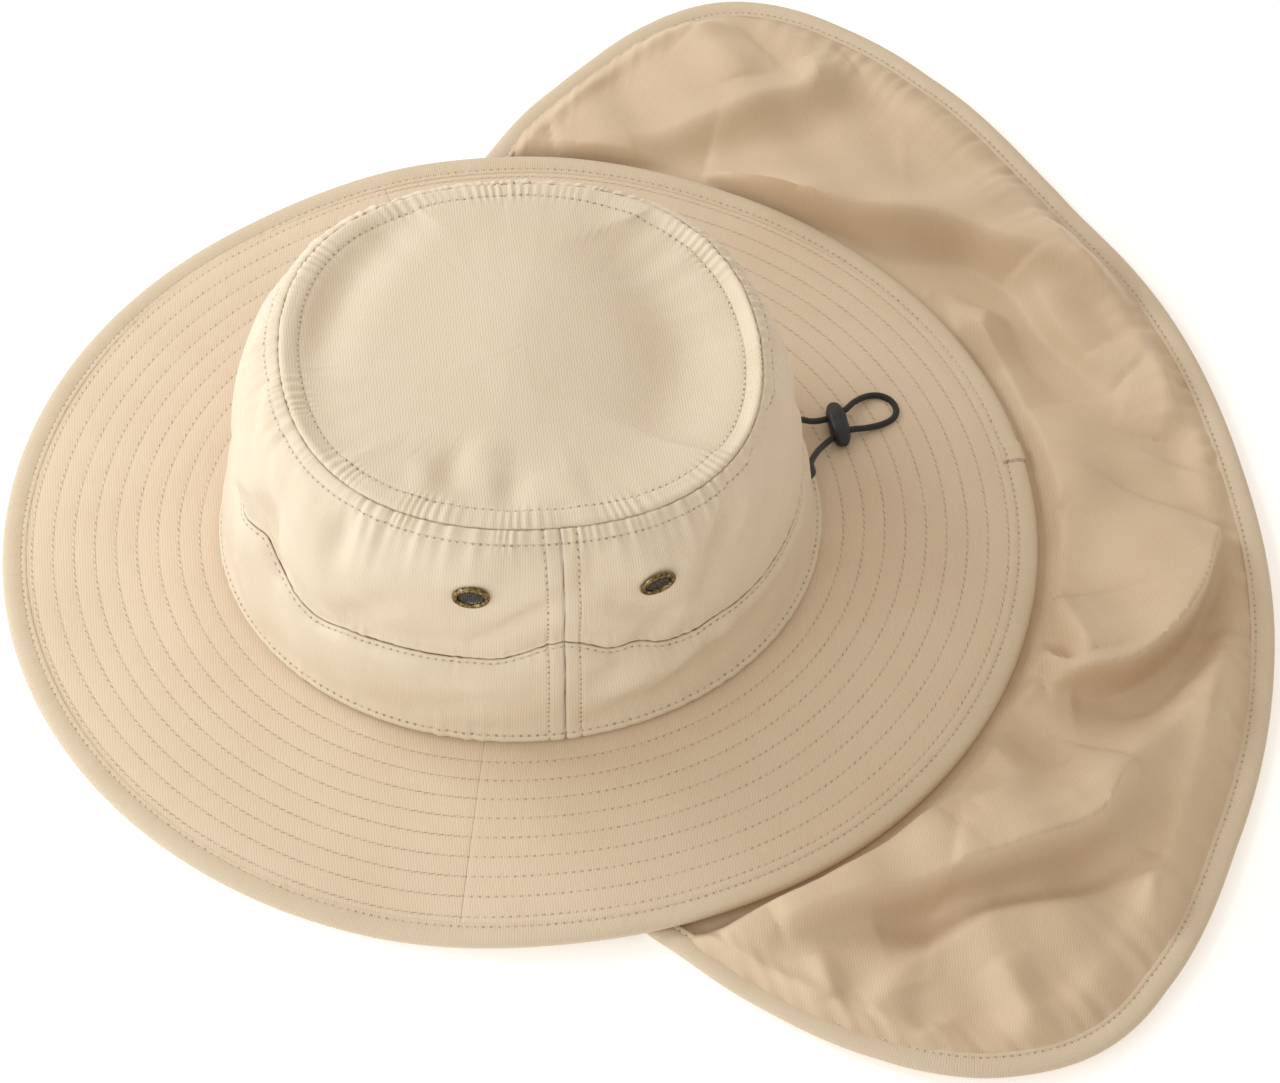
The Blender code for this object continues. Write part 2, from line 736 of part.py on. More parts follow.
def flap_bottom(turn, radius):
    """Height of the flap's underside above the floor."""
    crown = crown_radius(turn)
    brim = brim_radius(turn)
    hem = hem_radius(turn)
    under_brim = (radius - crown) / (brim - crown)
    drop = drop_share(max(0.0, under_brim)) * FLAP_TOP_HEIGHT
    side_turn = min(abs(turn - FLAP_START), abs(turn - FLAP_END))
    side_distance = radius * math.sin(math.radians(min(90.0, side_turn)))
    tape_zone = TAPE_WIDTH + 2 * TAPE_STEP
    near_hem = 1 - ease((hem - radius - tape_zone) / (2 * TAPE_WIDTH))
    near_side = 1 - ease((side_distance - tape_zone) / (2 * TAPE_WIDTH))
    near_side *= ease((under_brim - 0.25) / 0.2)
    lift = FLAP_HEM_LIFT * max(near_hem, near_side)
    clear_of_brim = ease((radius - brim - TAPE_STEP) / (2.4 * TAPE_WIDTH))
    clear_of_hem = ease((hem - radius - tape_zone) / (2.4 * TAPE_WIDTH))
    folds = fold_height(plan(turn, radius)) * clear_of_brim * clear_of_hem
    return max(drop, lift) + folds


def flap_radii(turn):
    """Radii of the flap's rows on one turn, from the crown to the hem."""
    inner = crown_radius(turn) - CROWN_WALL
    hem = hem_radius(turn)
    tape_inside = hem - TAPE_WIDTH - 2 * TAPE_STEP
    edge = min(brim_radius(turn) + TAPE_STEP, inner + 0.6 * (tape_inside - inner))
    under = spread(inner, edge, FLAP_ROWS_UNDER_BRIM)
    outside = spread(edge, tape_inside, FLAP_ROWS_OUTSIDE - 1)
    return under + outside[1:] + [hem]


def make_flap():
    """Neck flap: sewn under the brim at the crown and spread on the floor."""
    turns = spread(FLAP_START, FLAP_END, FLAP_COLUMNS)
    columns = []
    for turn in turns:
        column = []
        for radius in flap_radii(turn):
            place = plan(turn, radius)
            column.append(Vector((place.x, place.y, flap_bottom(turn, radius))))
        columns.append(column)
    lift = Vector((0.0, 0.0, FLAP_THICKNESS))
    rows = range(len(columns[0]))
    lower = [[column[row] for column in columns] for row in rows]
    upper = [[point + lift for point in row] for row in lower]
    return new_object("neck_flap", wall_solid(upper, lower, closed=False), "flap_cloth")


def flap_edge_route():
    """Plan places along the flap's free edge, from one side to the other."""
    turns = spread(FLAP_START, FLAP_END, FLAP_COLUMNS)
    places = []
    for turn, order in ((FLAP_START, 1), (FLAP_END, -1)):
        start = crown_radius(turn) + 0.5 * BRIM_WIDTH
        side = [plan(turn, radius) for radius in spread(start, hem_radius(turn), 4)]
        if order == 1:
            places = side[:-1] + [plan(hem_turn, hem_radius(hem_turn)) for hem_turn in turns]
        else:
            places += side[::-1][1:]
    return places


def make_flap_tape():
    """Edge tape along the flap's free edge."""
    places = flap_edge_route()
    stations = []
    middle = FLAP_HEM_LIFT + FLAP_THICKNESS / 2
    for index, place in enumerate(places):
        before = places[max(0, index - 1)]
        after = places[min(len(places) - 1, index + 1)]
        run_in = (place - before).normalized() if index else (after - place).normalized()
        run_out = (after - place).normalized() if index < len(places) - 1 else run_in
        inward = inward_at(Vector((0.0, 0.0)), run_in + run_out)
        mitre = 1 / max(0.5, inward.dot(inward_at(Vector((0.0, 0.0)), run_in)))
        stations.append(tape_ring(place, inward * mitre, middle, FLAP_THICKNESS))
    return new_object("flap_edge_tape", swept_solid(stations, closed=False), "edge_tape", 50.0)


# Eyelet pieces

def eyelet_frame(eyelet):
    """Place and direction of an eyelet: Z out of the crown, Y up along it."""
    low = math.floor(eyelet.row)
    foot = crown_point(eyelet.turn, low)
    top = crown_point(eyelet.turn, low + 1)
    around = crown_point(eyelet.turn + 2, eyelet.row) - crown_point(eyelet.turn - 2, eyelet.row)
    origin = foot.lerp(top, eyelet.row - low)
    normal = around.cross(top - foot).normalized()
    side = Vector((0.0, 0.0, 1.0)).cross(normal).normalized()
    up = normal.cross(side)
    frame = Matrix((side, up, normal)).transposed().to_4x4()
    frame.translation = origin
    return frame


def turned_ring(profile):
    """Solid turned from a closed outline of radii and heights."""
    stations = []
    for step in range(ROUND_SIDES):
        angle = 2 * math.pi * step / ROUND_SIDES
        stations.append([Vector((radius * math.cos(angle), radius * math.sin(angle), height))
                         for radius, height in profile])
    return swept_solid(stations, closed=True)


def make_eyelet(eyelet):
    """Brass rim through the crown's wall, with a woven mesh disc inside."""
    face = EYELET_FLANGE_GAP
    back = -CROWN_WALL - EYELET_FLANGE_GAP
    hole = EYELET_BARREL_RADIUS - EYELET_METAL
    profile = [
        (hole, back - EYELET_METAL), (EYELET_RADIUS, back - EYELET_METAL), (EYELET_RADIUS, back),
        (EYELET_BARREL_RADIUS, back), (EYELET_BARREL_RADIUS, face), (EYELET_RADIUS, face),
        (EYELET_RADIUS - EYELET_METAL / 2, face + EYELET_METAL), (hole + EYELET_METAL / 2, face + EYELET_METAL * 1.3),
        (hole, face + EYELET_METAL / 2),
    ]
    rim = new_object("eyelet_rim_" + eyelet.name, turned_ring(profile), "antique_brass", 50.0)
    rim.matrix_world = eyelet_frame(eyelet)
    data = bmesh.new()
    bmesh.ops.create_cone(data, cap_ends=True, segments=ROUND_SIDES, radius1=hole - CLEARANCE,
                          radius2=hole - CLEARANCE, depth=MESH_THICKNESS)
    disc = new_object("eyelet_mesh_" + eyelet.name, data, "dark_mesh", 50.0)
    disc.matrix_world = eyelet_frame(eyelet) @ Matrix.Translation((0.0, 0.0, -CROWN_WALL / 2))
    return [rim, disc]


def cut(target, cutter_data, name, frame):
    """Boolean cut with a hidden cutter."""
    mesh = bpy.data.meshes.new(name)
    cutter_data.to_mesh(mesh)
    cutter_data.free()
    cutter = bpy.data.objects.new(name, mesh)
    bpy.context.scene.collection.objects.link(cutter)
    cutter.matrix_world = frame
    cutter.hide_render = True
    cutter.display_type = "WIRE"
    modifier = target.modifiers.new(name, "BOOLEAN")
    modifier.operation = "DIFFERENCE"
    modifier.object = cutter
    return cutter


def round_cutter(radius, length):
    """Plain round cutter along Z."""
    data = bmesh.new()
    bmesh.ops.create_cone(data, cap_ends=True, segments=ROUND_SIDES, radius1=radius, radius2=radius, depth=length)
    return data


def make_eyelets(crown):
    """Four eyelets and their holes in the upper crown panels."""
    panels = {piece.name: piece for piece in crown}
    pieces = []
    for eyelet in EYELETS:
        pieces += make_eyelet(eyelet)
        panel = panels["crown_upper_" + eyelet.name.split("_")[1]]
        radius = (EYELET_BARREL_RADIUS + CLEARANCE) / math.cos(math.pi / ROUND_SIDES)
        cutter = cut(panel, round_cutter(radius, 8 * CROWN_WALL), "hole_" + eyelet.name, eyelet_frame(eyelet))
        pieces.append(cutter)
    return pieces


# Cord and its lock

def lock_frame():
    """Place of the cord lock: X along the bores, Y along the lock, on the brim."""
    turn = math.degrees(math.atan2(LOCK_Y / HALF_LENGTH, LOCK_X / HALF_WIDTH))
    reach = (LOCK_Y / math.sin(math.radians(turn)) - HALF_LENGTH) / BRIM_WIDTH
    height = brim_top(turn, reach) + CLEARANCE + LOCK_HEIGHT / 2
    frame = Matrix.Rotation(math.radians(90 + LOCK_TURN), 4, "Z")
    frame.translation = Vector((LOCK_X, LOCK_Y, height))
    return frame


def make_cord_lock():
    """Bean-shaped lock with two bores for the cord."""
    data = bmesh.new()
    bmesh.ops.create_uvsphere(data, u_segments=12, v_segments=8, radius=0.5)
    for vert in data.verts:
        across = math.copysign(abs(2 * vert.co.x) ** 0.75, vert.co.x) / 2
        rise = math.copysign(abs(2 * vert.co.y) ** 0.75, vert.co.y) / 2
        vert.co = Vector((across * LOCK_WIDTH, vert.co.z * LOCK_LENGTH, rise * LOCK_HEIGHT))
    bmesh.ops.recalc_face_normals(data, faces=data.faces)
    lock = new_object("cord_lock", data, "black_plastic", 40.0)
    lock.matrix_world = lock_frame()
    pieces = [lock]
    radius = (CORD_RADIUS + 2.5 * CLEARANCE) / math.cos(math.pi / ROUND_SIDES)
    turned = Matrix.Rotation(math.radians(90), 4, "Y")
    for name, side in (("bore_a", -1), ("bore_b", 1)):
        pieces.append(cut(lock, round_cutter(radius, 2 * LOCK_WIDTH), name, bore_frame(side) @ turned))
    return pieces


def bore_frame(side):
    """Place of one of the lock's bores, with X along the bore."""
    shift = Matrix.Translation((0.0, side * LOCK_BORE_SPREAD / 2, 0.0))
    return lock_frame() @ shift @ Matrix.Rotation(math.radians(BORE_SLANT), 4, "Z")


def cord_exit(exit_place):
    """Place where a cord leg leaves the back of the crown."""
    point = crown_point(exit_place.turn, exit_place.row)
    return point + crown_normal(exit_place.turn, exit_place.row) * CORD_EXIT_GAP


def cord_route():
    """Chosen points of the cord, from one exit round the loop to the other."""
    mouth = LOCK_WIDTH / 2 + CLEARANCE
    stations = [Vector((along, 0.0, 0.0)) for along in (-mouth, 0.0, mouth)]
    bore_a = [bore_frame(-1) @ station for station in stations]
    bore_b = [bore_frame(1) @ station for station in stations]
    legs = [CORD_LEG_A, CORD_LOOP, CORD_LEG_B]
    leg_a, loop, leg_b = [[lock_frame() @ Vector(step) for step in leg] for leg in legs]
    way_out = [cord_exit(CORD_EXIT_A)] + leg_a + bore_a
    way_back = [cord_exit(CORD_EXIT_B)] + leg_b + bore_b
    return way_out + loop + way_back[::-1]


def smooth_route(points, spacing):
    """Evenly spaced points on a smooth curve through the chosen ones."""
    dense = []
    for index in range(len(points) - 1):
        for step in range(12):
            position = index + step / 12
            dense.append(Vector([smooth_through([point[axis] for point in points], position) for axis in range(3)]))
    dense.append(points[-1])
    lengths = [0.0]
    for low, high in zip(dense, dense[1:]):
        lengths.append(lengths[-1] + (high - low).length)
    count = round(lengths[-1] / spacing)
    result = []
    index = 0
    for target in spread(0.0, lengths[-1], count):
        while index < len(dense) - 2 and lengths[index + 1] < target:
            index += 1
        share = (target - lengths[index]) / (lengths[index + 1] - lengths[index])
        result.append(dense[index].lerp(dense[index + 1], min(1.0, share)))
    return result


def make_cord():
    """Round elastic cord out of the crown, through the lock and back."""
    points = smooth_route(cord_route(), CORD_POINT_SPACING)
    curve = bpy.data.curves.new("cord", "CURVE")
    curve.dimensions = "3D"
    curve.bevel_depth = CORD_RADIUS
    curve.bevel_resolution = 2
    curve.use_fill_caps = True
    spline = curve.splines.new("POLY")
    spline.points.add(len(points) - 1)
    for spline_point, point in zip(spline.points, points):
        spline_point.co = (*point, 1.0)
    cord = bpy.data.objects.new("cord", curve)
    bpy.context.scene.collection.objects.link(cord)
    curve.materials.append(material_for("cord", "black_elastic"))
    return cord


def stand_on_origin(pieces):
    """Parent all pieces to an empty that puts the hat's box on the origin."""
    centre = bpy.data.objects.new("hat_base", None)
    bpy.context.scene.collection.objects.link(centre)
    bpy.context.view_layer.update()
    corners = [piece.matrix_world @ Vector(corner) for piece in pieces
               if piece.type == "MESH" and not piece.hide_render and piece.name != "cord_lock"
               for corner in piece.bound_box]
    middle_x = (min(corner.x for corner in corners) + max(corner.x for corner in corners)) / 2
    middle_y = (min(corner.y for corner in corners) + max(corner.y for corner in corners)) / 2
    for piece in pieces:
        piece.parent = centre
    centre.location = (-middle_x, -middle_y, 0.0)
    bpy.context.view_layer.update()
    return centre


def build():
    """Make the whole hat."""
    for thing in list(bpy.data.objects):
        bpy.data.objects.remove(thing, do_unlink=True)
    crown = make_crown()
    pieces = crown + make_brim() + [make_flap(), make_flap_tape()]
    pieces += make_eyelets(crown)
    pieces += make_cord_lock()
    pieces.append(make_cord())
    stand_on_origin(pieces)


build()
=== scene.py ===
# Looks of the flap sun hat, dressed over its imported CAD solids.
# Metres, +Z up. Shapes are worked out round the hat's own centre, as in the CAD source:
# turns are degrees round the crown from +X (the wearer's left) towards the back (+Y).
# Plan places are complex numbers, x + 1j * y.
import math
from collections import namedtuple

import bmesh
import bpy
import numpy as np
from mathutils import Matrix, Vector


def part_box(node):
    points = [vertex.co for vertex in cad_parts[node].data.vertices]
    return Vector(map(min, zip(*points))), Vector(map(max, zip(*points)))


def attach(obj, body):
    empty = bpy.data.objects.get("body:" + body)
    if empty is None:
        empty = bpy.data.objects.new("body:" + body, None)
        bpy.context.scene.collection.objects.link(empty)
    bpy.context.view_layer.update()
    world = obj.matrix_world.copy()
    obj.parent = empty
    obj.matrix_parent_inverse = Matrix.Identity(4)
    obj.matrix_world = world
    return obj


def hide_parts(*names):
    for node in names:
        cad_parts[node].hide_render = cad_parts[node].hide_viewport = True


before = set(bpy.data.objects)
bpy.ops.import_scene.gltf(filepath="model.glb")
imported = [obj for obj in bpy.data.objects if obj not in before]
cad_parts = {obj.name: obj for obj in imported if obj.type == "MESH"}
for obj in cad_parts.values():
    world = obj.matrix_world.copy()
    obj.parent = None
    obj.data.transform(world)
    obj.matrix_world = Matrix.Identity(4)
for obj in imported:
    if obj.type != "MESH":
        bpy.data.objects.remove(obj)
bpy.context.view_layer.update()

MM = 0.001


def table(columns, *rows):
    """Rows with named columns."""
    kind = namedtuple("Row", columns)
    return [kind(*row) for row in rows]


# Sizes shared with the CAD source
HALF_WIDTH = 0.0898
HALF_LENGTH = 0.1031
BASE_HEIGHT = 0.0076
CROWN_HEIGHT = 0.0956
CROWN_WALL = 0.0015
CROWN_TILT = 0.045
CROWN_LEAN = 0.028
ROUND_CORNERS = 0.022
BRIM_WIDTH = 0.0762
BRIM_THICKNESS = 0.0016
FLAP_THICKNESS = 0.0012
FLAP_START = 6.5
FLAP_END = 181.5
TAPE_THICKNESS = 0.0010
TAPE_WIDTH = 0.0075
MESH_RADIUS = 0.00425
CORD_DIAMETER = 0.0023
LOCK_LENGTH = 0.0188
LOCK_WIDTH = 0.0074
LOCK_HEIGHT = 0.0068
LOCK_BORE_SPREAD = 0.0088
LOCK_TURN = 5.0
BORE_SLANT = 20.0
CLEARANCE = 0.0003
BUTTED = 0.00003
SIDE_SEAM = 3.0
BRIM_SEAM = -12.0
TAPE_STEP = TAPE_THICKNESS + CLEARANCE
LIFT_ON_FLAP = FLAP_THICKNESS + CLEARANCE
LIFT_ON_HEM = 2 * TAPE_STEP
FLAP_TOP_HEIGHT = BASE_HEIGHT - BRIM_THICKNESS - CLEARANCE - FLAP_THICKNESS

SECTIONS = table(
    "name height side front back",
    ("base", 0.000, 1.000, 1.000, 1.000),
    ("edge ridge", 0.035, 1.010, 1.008, 0.996),
    ("above ridge", 0.080, 0.999, 0.999, 0.975),
    ("lower swell", 0.220, 0.996, 0.992, 0.955),
    ("lower top", 0.350, 0.978, 0.968, 0.940),
    ("waist seam", 0.410, 0.950, 0.934, 0.918),
    ("upper foot", 0.480, 0.958, 0.936, 0.914),
    ("upper swell", 0.640, 0.964, 0.946, 0.904),
    ("shoulder low", 0.820, 0.945, 0.915, 0.870),
    ("shoulder", 0.940, 0.895, 0.865, 0.828),
    ("tip seam", 1.000, 0.830, 0.790, 0.775),
    ("tip roll", 1.009, 0.785, 0.750, 0.735),
    ("tip stitch", 1.006, 0.720, 0.690, 0.680),
    ("dish side", 0.985, 0.520, 0.500, 0.490),
    ("dish", 0.975, 0.260, 0.250, 0.245),
    ("dish middle", 0.975, 0.060, 0.060, 0.060),
    ("dish centre", 0.975, 0.012, 0.012, 0.012),
)
WAIST_ROW = 5
TIP_SEAM_ROW = 10

# Height of the seam round the waist, as shares of its height in the sections
WAIST_SEAM = table(
    "turn value",
    (-90, 1.04), (-69, 1.16), (-60, 0.95), (-49, 0.83), (-40, 0.92),
    (-25, 0.98), (-12, 1.02), (3, 1.24), (15, 1.03), (29, 0.88),
    (40, 0.90), (58, 0.93), (90, 0.98), (120, 1.02), (150, 1.00),
    (177, 1.20), (196, 1.02), (225, 0.92), (250, 0.96), (270, 1.04),
)

# Soft dents between two places on the crown's side. Heights, depths and widths
# are shares of CROWN_HEIGHT; a minus depth stands out.
DENTS = table(
    "name turn_a height_a turn_b height_b depth width",
    ("back left hollow above the base", 30, 0.16, 62, 0.24, 0.034, 0.070),
    ("slanting fold of the back left", 62, 0.78, 30, 0.56, 0.022, 0.075),
    ("shoulder dent of the back left", 55, 0.90, 72, 0.80, 0.026, 0.090),
    ("front left upright fold", -58, 0.88, -66, 0.52, 0.022, 0.070),
    ("front left swell", -44, 0.60, -30, 0.62, -0.014, 0.130),
    ("front left hollow over the seam", -40, 0.45, -12, 0.50, 0.016, 0.060),
    ("low dent by the side seam", -34, 0.10, -16, 0.20, 0.014, 0.060),
    ("back right hollow", 120, 0.30, 146, 0.62, 0.026, 0.090),
    ("front right fold", 214, 0.78, 232, 0.44, 0.024, 0.080),
    ("front hollow", 262, 0.62, 286, 0.50, 0.016, 0.090),
    ("front right shoulder", 212, 0.94, 256, 0.93, 0.034, 0.110),
)

# Fine creases of the cloth, in the same measures
CREASES = table(
    "name turn_a height_a turn_b height_b depth width",
    ("crease under the left front eyelet", -22, 0.60, -34, 0.52, 0.010, 0.028),
    ("crease beside the side seam", -1, 0.71, -15, 0.52, 0.017, 0.026),
    ("ridge over that crease", -1, 0.80, -16, 0.63, -0.013, 0.030),
    ("hollow left of the eyelets", -32, 0.64, -41, 0.47, 0.030, 0.055),
    ("hollow under the back eyelet", 14, 0.66, 26, 0.54, 0.022, 0.038),
    ("crease over the seam behind", 8, 0.56, 20, 0.50, 0.009, 0.020),
    ("crease low in front", -14, 0.20, -26, 0.12, 0.010, 0.024),
    ("ridge low in front", -6, 0.29, -20, 0.29, -0.012, 0.034),
    ("fold low behind the seam", 8, 0.09, 48, 0.21, 0.030, 0.050),
    ("ridge low behind the seam", 8, 0.24, 38, 0.31, -0.022, 0.046),
    ("upright crease of the front", -69, 0.86, -61, 0.44, 0.036, 0.070),
    ("upright ridge of the front", -79, 0.72, -72, 0.36, -0.018, 0.070),
    ("front shoulder hollow", -43, 0.95, -44, 0.76, 0.030, 0.055),
    ("slanting crease of the shoulder", 43, 0.86, 34, 0.62, 0.040, 0.060),
    ("slanting ridge of the shoulder", 33, 0.90, 27, 0.70, -0.014, 0.045),
    ("back shoulder pinch", 57, 0.97, 69, 0.93, 0.040, 0.055),
    ("back crease", 84, 0.74, 98, 0.52, 0.015, 0.040),
    ("back ridge", 104, 0.70, 116, 0.56, -0.014, 0.045),
    ("right crease", 188, 0.62, 202, 0.54, 0.012, 0.030),
    ("right low crease", 168, 0.16, 150, 0.22, 0.012, 0.030),
    ("front crease", 240, 0.30, 262, 0.22, 0.014, 0.035),
    ("front ridge", 292, 0.72, 276, 0.56, -0.012, 0.045),
)

# Ridges and valleys of soft cloth, all in millimetres. Points are plan places; the left
# and right widths are the cloth's run down to each side, seen along the points.
# A sharpness of 1 gives a creased crest and 0 a rounded one.
TIP_FOLDS = table(
    "name height left right sharpness points",
    ("left valley", -4.5, 9, 8, 0, [(-62, -29), (-40, -51), (-16, -63), (6, -69)]),
    ("left valley low", -2, 12, 8, 0, [(2, -68), (25, -67), (41, -60)]),
    ("middle crest", 6, 34, 42, 0.1, [(-60, 12), (-32, 6), (-14, 0), (18, -8), (44, -14)]),
    ("right valley", -7, 34, 16, 0, [(-53, 37), (-15, 53), (10, 53), (38, 41)]),
    ("right crest", 1.2, 9, 13, 0, [(-51, 52), (-15, 67), (13, 66), (38, 54)]),
    ("tongue one", 1.3, 6, 6, 0.1, [(41, -37), (60, -36)]),
    ("tongue two", 1.4, 7, 7, 0.1, [(36, -16), (58, -17)]),
    ("gap one", -1.3, 5, 5, 0, [(37, -27), (58, -28)]),
    ("gap two", -1.5, 5, 5, 0, [(50, -8), (66, -11)]),
    ("tongue three", 1.1, 7, 7, 0.1, [(46, 5), (64, 7)]),
)

# How far the brim rests on the flap and on its hem
BRIM_RESTS = table(
    "turn on_flap on_hem",
    (-180, 1.0, 1.0), (-174, 1.0, 1.0), (-146, 0.0, 0.0),
    (-24, 0.0, 0.0), (3, 1.0, 1.0), (15, 1.0, 1.0),
    (40, 1.0, 0.0), (146, 1.0, 0.0), (172, 1.0, 1.0),
    (180, 1.0, 1.0),
)

# Outline of the flap's hem, as shares of the brim's radius on that turn
HEM = table(
    "turn value",
    (6.5, 0.940), (9.0, 1.000), (16.0, 1.192), (23.0, 1.395),
    (29.0, 1.532), (36.0, 1.609), (43.0, 1.603), (56.0, 1.533),
    (72.0, 1.473), (90.0, 1.424), (112.0, 1.420), (122.0, 1.433),
    (138.0, 1.513), (147.0, 1.558), (153.0, 1.567), (158.0, 1.532),
    (163.0, 1.434), (169.0, 1.272), (174.0, 1.150), (179.0, 1.022),
    (181.5, 0.940),
)

# Height of the flap under the brim, at shares of the brim's width
FLAP_DROP_REACH = [0.00, 0.22, 0.45, 0.70]
FLAP_DROP_HEIGHT = [1.00, 0.48, 0.12, 0.00]

EYELET_LEAN = 0.26
CREASE_STRENGTH = 1.25
EYELETS = table(
    "name turn row",
    ("left_front", -15.2, 7.72),
    ("left_back", 22.5, 7.70),
    ("right_front", 195.2, 7.72),
    ("right_back", 157.5, 7.70),
)

# Cord: exits on the crown's back, and the route in the lock's frame
CORD_EXITS = table("turn row", (90.0, 2.6), (107.0, 2.3))
CORD_EXIT_GAP = 0.0016
LOCK_X = -0.0286
LOCK_Y = 0.1144
CORD_LEG_A = table(
    "along across height",
    (-0.0151, -0.0202, 0.0080),
    (-0.0112, -0.0136, 0.0044),
    (-0.0077, -0.0092, 0.0015),
)
CORD_LEG_B = table(
    "along across height",
    (-0.0138, 0.0002, 0.0060),
    (-0.0090, 0.0017, 0.0018),
)
CORD_LOOP = table(
    "along across height",
    (0.0100, -0.0022, -0.0015),
    (0.0160, -0.0010, -0.0024),
    (0.0206, 0.0013, -0.0030),
    (0.0226, 0.0051, -0.0033),
    (0.0214, 0.0094, -0.0032),
    (0.0177, 0.0119, -0.0028),
    (0.0129, 0.0117, -0.0021),
    (0.0080, 0.0094, -0.0012),
)

# Camera, from a pinhole fit to the photograph
CAMERA_AZIMUTH = 81.06
CAMERA_ELEVATION = 55.03
CAMERA_ROLL = 2.80
CAMERA_DISTANCE = 1.30
CAMERA_AIM = Vector((0.0300, 0.0366, 0.0300))
CAMERA_LENS = 108.32
CAMERA_SHIFT_X = 0.0003
CAMERA_SHIFT_Y = 0.0036

# Stitching, in metres
STITCH_PITCH = 2.7 * MM
BRIM_ROW_FIRST = 8.2 * MM
BRIM_ROW_PITCH = 7.21 * MM
BRIM_ROWS = 9
BASE_ROW = 4.3 * MM
WAIST_ROW_BELOW = 1.7 * MM
TIP_ROW_BELOW = 5.0 * MM
TIP_ROW_INSIDE = 7.0 * MM
SIDE_ROW = 5.2 * MM
TAPE_ROW = 5.4 * MM
GATHER_PITCH = 3.1 * MM
GATHER_DEPTH = 0.27 * MM

# Weaves, tapes and wires
TIP_RADIUS = 78 * MM
TAPE_ROW_ACROSS = 6.9 * MM
TAPE_JOINT_TURN = 94.0
BRIM_INNER_LINES = [-0.6 * MM, 0.2 * MM]
RIB_PITCH = 0.92
FINE_RIB_PITCH = 0.42
WIRE_RADIUS = 0.22 * MM
WIRE_PITCH = 0.72 * MM
WIRES_EACH_SIDE = 5
CORD_BRAID_PITCH = 2.6 * MM
# Share of the flap's rows that lie under the brim
FLAP_KNEE = 0.20

# Mesh fineness: points along and across each piece
TIP_ROWS = 44
CORD_SIDES = 20
RIM_SIDES = 56
DISC_SIDES = 32
WIRE_STATIONS = 26
BORE_SIDES = 24
HEM_TAPE_STATIONS = 640
SIDE_TAPE_STATIONS = 30
TIP_COLUMNS = 1000
UPPER_COLUMNS = 600
LOWER_COLUMNS = 300
UPPER_ROWS = 44
LOWER_ROWS = 42
BRIM_COLUMNS = 300
BRIM_STEPS_BETWEEN_ROWS = 8
TAPE_STATIONS = 900
FLAP_COLUMNS = 480
FLAP_ROWS = 90

# Outline of a folded tape, in millimetres; across is the length over its top
TAPE_OUTLINE = table(
    "along rise across",
    (7.1, -1.00, -9.0), (5.4, -1.25, -9.0), (3.0, -1.60, -9.0),
    (0.6, -1.55, -9.0), (-0.7, -1.05, -9.0), (-1.3, -0.20, 0.3),
    (-1.1, 0.65, 1.2), (-0.3, 1.35, 2.2), (1.0, 1.72, 3.4),
    (2.6, 1.80, 4.6), (4.0, 1.62, 5.6), (4.9, 1.34, 6.4),
    (5.4, 1.22, 6.9), (5.9, 1.36, 7.4), (6.6, 1.44, 8.1),
    (7.05, 1.30, 8.5), (7.15, 0.80, 9.2),
)

# Turned outlines of an eyelet's rim and of the lock's bores, in millimetres
RIM_OUTLINE = table(
    "radius height",
    (4.30, -1.2), (4.30, 0.45), (4.42, 0.95), (4.72, 1.36),
    (5.15, 1.52), (5.60, 1.42), (5.95, 1.10), (6.15, 0.60),
    (6.00, 0.20), (5.20, 0.10), (4.60, 0.00), (4.60, -2.2),
    (6.00, -2.3), (6.05, -2.75), (4.90, -3.0), (4.35, -2.7),
)
BORE_OUTLINE = table("radius height", (1.60, -4.6), (1.30, -3.2), (1.30, 3.2), (1.60, 4.6))

